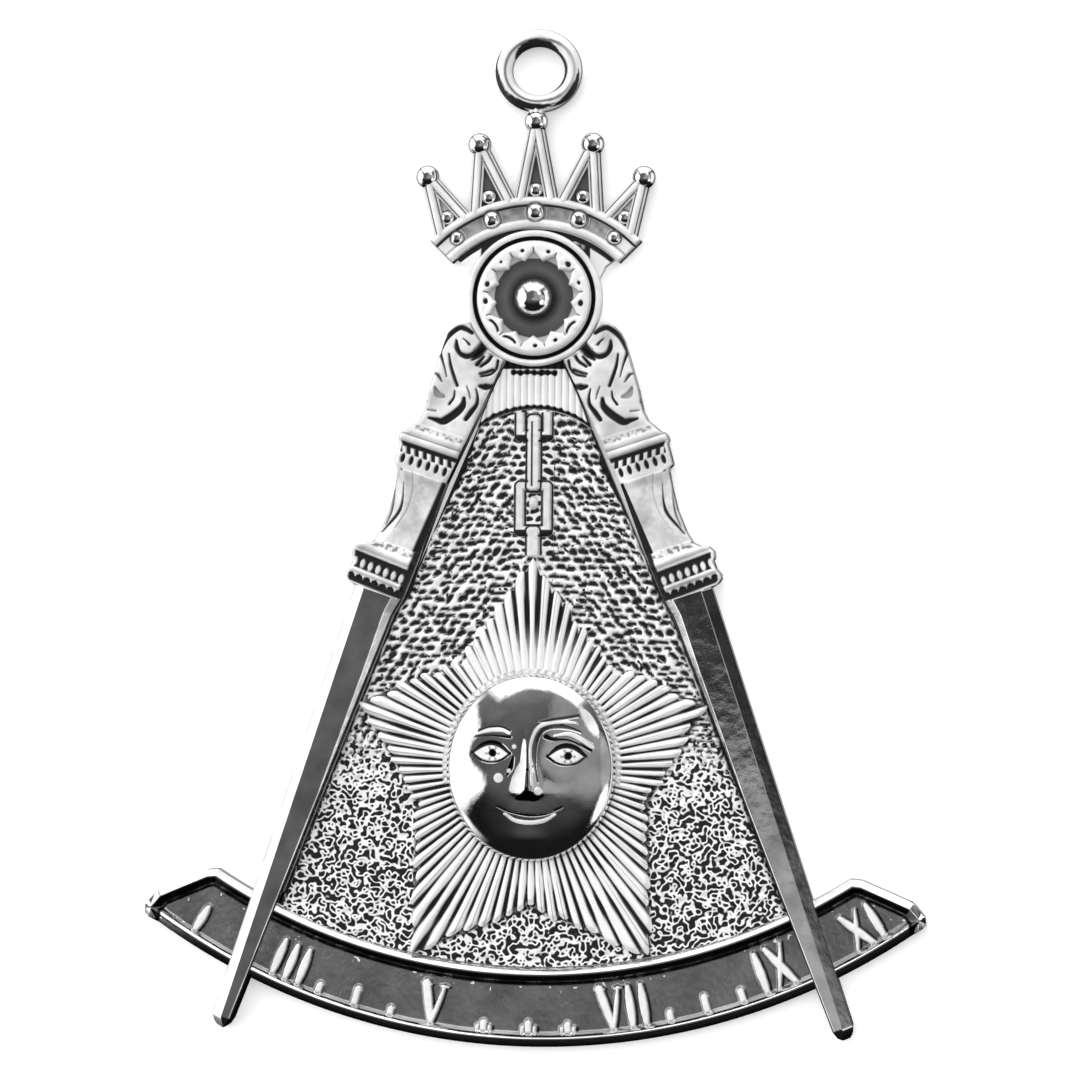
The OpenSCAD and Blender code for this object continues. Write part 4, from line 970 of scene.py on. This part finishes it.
def make_scallops():
    b = Build()
    lobes = 13
    cols, rows = lobes * 30, 44
    a = np.radians(full_turn(cols, 360))[None, :]
    share = (np.degrees(a) - 90) * lobes / 360
    lobe = np.abs(share % 1 - 0.5) * 2
    k = np.floor(share).astype(int) % lobes
    inner = 3.35 + 0.8 * lobe ** 1.2
    outer = 5.05
    s = np.linspace(0, 1, rows)[:, None]
    r = outer + (inner - outer) * s
    x, y = r * np.cos(a), r * np.sin(a)
    d = np.minimum(outer - r, r - inner)
    z = 2.6 + 0.42 * dome(np.clip(1 - d / 0.45, 0, 1)) + 0.05 * noise(x, y, 0.45, 31)
    rnd = np.random.default_rng(33)
    off = rnd.uniform(-0.2, 0.2, lobes)[k]
    size = rnd.uniform(0.14, 0.3, lobes)[k]
    bend = rnd.uniform(0, 1, lobes)[k]
    low = np.sin(a) < -0.45
    across = (share % 1 - 0.5 - off) * 2 * math.pi * r / lobes
    pit = sstep(1 - np.hypot(across / size, (r - 4.3) / (0.8 * size)), -0.2, 0.2)
    fold = within(r - 4.15 - 0.5 * across ** 2, 0.14, -0.05, 0.08) * within(across, 0.75, 0, 0.15)
    # painted shade in pits on the lobes, in folds on the lower lobes and between the lobes' inner ends
    dark = np.where(low & (bend > 0.3), fold, pit)
    dark = most(dark, sstep(lobe, 0.9, 1.0) * sstep(4.5 - r, -0.1, 0.1))
    b.relief(x, y, z - 0.2 * dark, base=2.25, wrap=True, deep=dark)
    b.make("scallops", [FROST], "scalloped_ring")


def make_hinge_ball():
    b = Build()
    b.ball(0, 0, 2.55, 1.72, n=64)
    b.make("polished_ball", [POLISHED], "hinge_ball")


# Crown

# Radius of the row of beads on the band
BEAD_R = 12.05
# Beads: degrees from the middle, and radius
BAND_BEADS = [(-36, 0.62), (-19, 0.8), (0, 0.85), (19, 0.8), (36, 0.62)]
# The crown's points: angle and radius of the tip, angles of its two feet
POINTS = [(-32.7, 18.15, -42.4, -26.9), (-15.7, 18.85, -26.5, -8.5), (0, 20.2, -8.0, 8.0),
          (15.7, 18.85, 8.5, 26.5), (32.7, 18.0, 26.9, 42.4)]


def crown_spot(r, deg):
    """The spot (x, y) at a radius and an angle of the crown's band."""
    a = np.radians(deg)
    return np.array([r * np.sin(a), -CROWN_DROP + r * np.cos(a)])


def bar_section(w, top):
    """Outline of a bar's cut, with a crest between two grooves, and how dark the painted shade on each of its
    spots is.
    """
    half, low = w / 2, top - 0.45
    shape = [(1.0, low - 0.1, 0.9), (0.98, low, 0.2), (0.75, low + 0.1, 0.1), (0.66, low + 0.06, 0.9),
             (0.56, low + 0.06, 0.9), (0.48, low + 0.25, 0.1), (0.3, low + 0.42, 0.0), (0.0, top, 0.0)]
    shape = shape + [(-a, z, tone) for a, z, tone in reversed(shape[:-1])]
    section = [(-half, 0), (half, 0)] + [(a * half, z) for a, z, _ in shape]
    return section, [1, 1] + [tone for _, _, tone in shape]


def make_crown():
    b = Build()
    s, deg = grid(50, 420, -BAND_END, BAND_END)
    r = BAND_IN + (BAND_OUT - BAND_IN) * s + 0 * deg
    x, y = crown_spot(r, deg)
    rims = most(dome((r - BAND_IN - 0.42) / 0.42), dome((r - BAND_OUT + 0.38) / 0.4))
    # lines of painted shade along the band and rings of painted shade round its beads; the panels between the
    # beads are grey
    dark = most(within(r - 12.68, 0.11, -0.03, 0.05), 0.5 * within(r - 11.5, 0.07, -0.03, 0.04))
    grey = np.zeros(r.shape)
    for c in (-27.5, -9.5, 9.5, 27.5):
        along = np.radians(deg - c) * 12
        grey = most(grey, within(along, 1.2) * within(r - BEAD_R, 0.5))
    bead_deep = np.zeros(r.shape)
    for c, size in BAND_BEADS:
        near = np.hypot(np.radians(deg - c) * BEAD_R, r - BEAD_R)
        grey = grey * sstep(near, size + 0.1, size + 0.2)
        bead_deep = most(bead_deep, within(near - size - 0.02, 0.07, -0.03, 0.04))
    dark = most(dark * (bead_deep < 0.5), 0.7 * bead_deep)
    z = 1.35 + 0.5 * rims - 0.25 * most(dark, grey)
    # the band's ends turn down and carry painted shade
    ends = within(deg, BAND_END, 0, 1.0) + 0 * r
    deep = most(dark, grey * (0.62 + 0.15 * noise(x, y, 0.4, 61)), 0.8 * (1 - ends))
    b.relief(x, y, z * ends + 1.0 * (1 - ends), deep=deep)
    for c, size in BAND_BEADS:
        b.ball(*crown_spot(BEAD_R, c), 1.45, size, squash=0.85)
    section, tones = bar_section(1.12, 1.9)
    foot_r, window_r = 13.2, 12.8
    for tip_deg, tip_r, f1, f2 in POINTS:
        tip = crown_spot(tip_r, tip_deg)
        feet = [crown_spot(foot_r, f1 + 2.0), crown_spot(foot_r, f2 - 2.0)]
        for foot in feet:
            path = [foot + (tip - foot) * q for q in np.linspace(0, 1, 12)]
            b.tube(path, section, deep=tones)
        # the window's plate between the two bars, in painted shade; only the outermost ones are bright
        window = np.array([feet[0], tip, feet[1], crown_spot(window_r, tip_deg)])
        corners = np.vstack([np.c_[window, np.full(4, z)] for z in (0, 0.95)])
        sides = [[0, 4, 5, 1], [1, 5, 6, 2], [2, 6, 7, 3], [3, 7, 4, 0]]
        b.add(corners, [[0, 1, 2, 3], [7, 6, 5, 4]] + sides, smooth=False,
              deep=0.1 if abs(tip_deg) > 30 else 0.88, satin=1.0)
        b.ball(*tip, 1.2, 1.04, n=48)
        b.ball(*crown_spot(BAND_OUT + 0.62, (f1 + f2) / 2), 1.15, 0.72, squash=0.85)
    b.make("fine_crown", [POLISHED], "crown")


def make_ring():
    b = Build()
    a, q = full_turn(180), full_turn(48)
    mid_x, mid_y, mid_z, half_w, half_h = 0.2, 20.42, 1.2, 3.13, 2.95
    path = np.stack([mid_x + half_w * np.cos(a), mid_y + half_h * np.sin(a)], -1)
    section = np.stack([0.8 * np.cos(q), mid_z + 0.84 * np.sin(q)], -1)
    # spots round the ring in degrees from its right side, and across it from the hole to the outside
    turn, across = np.degrees(a)[:, None], np.cos(q)[None, :]

    def around(middle, reach):
        """1 in the middle of a stretch of the ring, falling to 0 at its ends."""
        far = np.abs((turn - middle + 180) % 360 - 180)
        return np.clip(1 - (far / reach) ** 2, 0, 1)

    # painted shade in place of the dark parts of the ring's reflections: a line along its middle, its
    # outline, crescents inside and outside, and two corners
    middle = within(across + 0.2 - 0.4 * around(0, 75), 0.17) * (0.8 - 0.35 * around(0, 60))
    outline = 0.75 * sstep(across, 0.86, 0.93)
    inside = sstep(-0.95 + 0.75 * around(98, 55) + 0.35 * around(5, 75) - across)
    outside = sstep(across - 1 + 0.5 * around(218, 45) + 0.28 * around(180, 40))
    corner = 0.0
    for degrees, reach, half, off in ((325, 38, 0.3, 0.62), (255, 42, 0.36, 0.4)):
        part = around(degrees, reach)
        corner = most(corner, within(across - off, half * part, -0.04, 0.04) * (part > 0))
    deep = most(middle, outline, inside, outside, corner)
    b.tube(path, section[::-1], closed=True, deep=deep[:, ::-1])
    # foot that flares into the ring, its sides and a notch in painted shade round a white middle
    t, s = grid(40, 70)
    foot_y, foot_h = 16.45, 1.5
    x = s * look(t, [(0, 0.75), (0.3, 0.72), (0.6, 1.0), (1, 1.7)])
    y = foot_y + foot_h * t + 0 * s
    z = mid_z + 0.62 * dome(s) * (1 + 0.12 * np.cos(s * 9) * (t < 0.5))
    white = within(x, 0.58) * sstep(0.62 - t, 0, 0.06)
    notch = within(x - 0.1, 0.1, -0.03, 0.03) * (t > 0.42)
    rim = sstep(np.abs(s), 0.84, 0.9)
    deep = most(notch, 1 - most(white, rim))
    b.relief(x, y, z, base=0.6, deep=deep)
    b.make("round_ring", [POLISHED], "hanging_ring")


make_arc()
make_field()
make_chain()
make_glory()
make_face()
make_leg(-1, "fine_left_leg", "left_leg")
make_leg(1, "fine_right_leg", "right_leg")
make_head()
make_flange()
make_scallops()
make_hinge_ball()
make_crown()
make_ring()


# Floor, light and camera

def make_floor():
    mesh = bpy.data.meshes.new("floor")
    half = 1.5
    corners = [(-half, -half, 0), (half, -half, 0), (half, half, 0), (-half, half, 0)]
    mesh.from_pydata(corners, [], [(0, 1, 2, 3)])
    m, shader = material("pale floor")
    # it glows a little, as a light table does
    looks = {"Base Color": (0.93, 0.93, 0.93, 1), "Roughness": 0.9, "Specular IOR Level": 0.1,
             "Emission Color": (1, 1, 1, 1), "Emission Strength": 0.25}
    for key, value in looks.items():
        shader[key].default_value = value
    mesh.materials.append(m)
    o = put("floor", mesh)
    o.visible_glossy = False


class Sky(Nodes):
    """Nodes that work out the studio's brightness from the direction, as seen in the metal."""

    def __init__(self, tree):
        super().__init__(tree)
        self.direction = self.add("TexCoord", "Generated", {})
        self.x, self.y, self.z = self.add("SeparateXYZ", 0, {0: self.direction}).node.outputs

    def step(self, value, low, high, bright=1.0):
        return self.ramp(value, low, high, 0.0, bright, interpolation_type="SMOOTHSTEP")

    def spot(self, azimuth, elevation, inner, outer, bright):
        """A round light, its azimuth from the top of the picture towards the right, in degrees."""
        az, el, inner, outer = (math.radians(a) for a in (azimuth, elevation, inner, outer))
        middle = (math.sin(az) * math.cos(el), math.cos(az) * math.cos(el), math.sin(el))
        dot = self.add("VectorMath", "Value", {0: self.direction, 1: middle}, operation="DOT_PRODUCT")
        return self.step(dot, math.cos(outer), math.cos(inner), bright)


def make_world():
    world = bpy.data.worlds.new("studio")
    bpy.context.scene.world = world
    world.use_nodes = True
    tree = world.node_tree
    tree.nodes.clear()
    k = Sky(tree)
    # how far a direction points up the picture and to its right, apart from its height
    side = k.most(k.op("POWER", k.op("SUBTRACT", 1.0, k.times(k.z, k.z)), 0.5), 0.001)
    north = k.op("DIVIDE", k.y, side)
    east = k.op("DIVIDE", k.x, side)
    # round lights: azimuth, elevation, inner and outer reach in degrees, and brightness
    lights = [k.spot(*row) for row in ((-87, 22, 27, 32, 1.7), (90, 32, 12, 22, 0.5), (56, 42, 9, 12, 1.3),
                                       (118, 25, 12, 16, 1.3))]
    # patches that are bounded by steps: the top light and its glow, low ones on the left and on the right,
    # one that the face's cheeks see, and one that the legs' shanks see
    for steps in (((north, 0.7, 0.8, 1.6), (k.z, 0.77, 0.7)), ((north, 0.2, 0.8, 0.22), (k.z, 0.95, 0.75)),
                  ((east, -0.6, -0.85, 1.4), (k.z, 0.45, 0.3)), ((east, 0.75, 0.92, 1.2), (k.z, 0.25, 0.1)),
                  ((k.x, 0.02, 0.2, 0.32), (k.y, -0.5, -0.2), (k.z, 0.55, 0.75)),
                  ((k.x, -0.12, -0.07, 0.4), (k.y, -0.035, -0.075), (k.y, -0.35, -0.25), (k.z, 0.8, 0.9))):
        lights.append(k.times(*(k.step(*row) for row in steps)))
    overhead = k.times(k.step(k.z, 0.6, 0.9, 0.115), k.step(k.y, -0.8, -0.15))
    black = k.times(k.step(k.x, -0.13, -0.07), k.step(k.x, 0.3, 0.1), k.step(k.y, -0.07, -0.03),
                    k.step(k.y, 0.03, 0.0))
    overhead = k.times(overhead, k.op("SUBTRACT", 1.0, k.times(black, 0.85)))
    total = k.times(k.op("ADD", k.most(overhead, *lights), 0.012), k.most(k.step(k.z, -0.75, -0.3), 0.25))
    back = k.add("Background", 0, {"Color": (1, 1, 1, 1), "Strength": total})
    end = tree.nodes.new("ShaderNodeOutputWorld")
    tree.links.new(back, end.inputs["Surface"])


def make_lamp():
    lamp = bpy.data.lights.new("soft box", "AREA")
    lamp.shape = "DISK"
    lamp.size = 1.8
    lamp.energy = 12.5
    o = put("soft box", lamp)
    o.location = (-0.15, 0.25, 1.0)
    o.rotation_euler = (math.radians(-14), math.radians(-8), 0)
    o.visible_glossy = False


def make_camera():
    far, tilt, roll = 0.340, math.radians(6.5), math.radians(0.38)
    wide = 0.0972
    cam = bpy.data.cameras.new("camera")
    cam.sensor_width = 36
    cam.lens = cam.sensor_width * far / wide
    cam.clip_end = 10
    o = put("camera", cam)
    o.location = (0.00043 + far * math.sin(tilt), -0.0001, far * math.cos(tilt))
    o.rotation_euler = (0, tilt, roll)
    bpy.context.scene.camera = o


make_floor()
make_world()
make_lamp()
make_camera()
bpy.context.scene.view_settings.view_transform = "Standard"
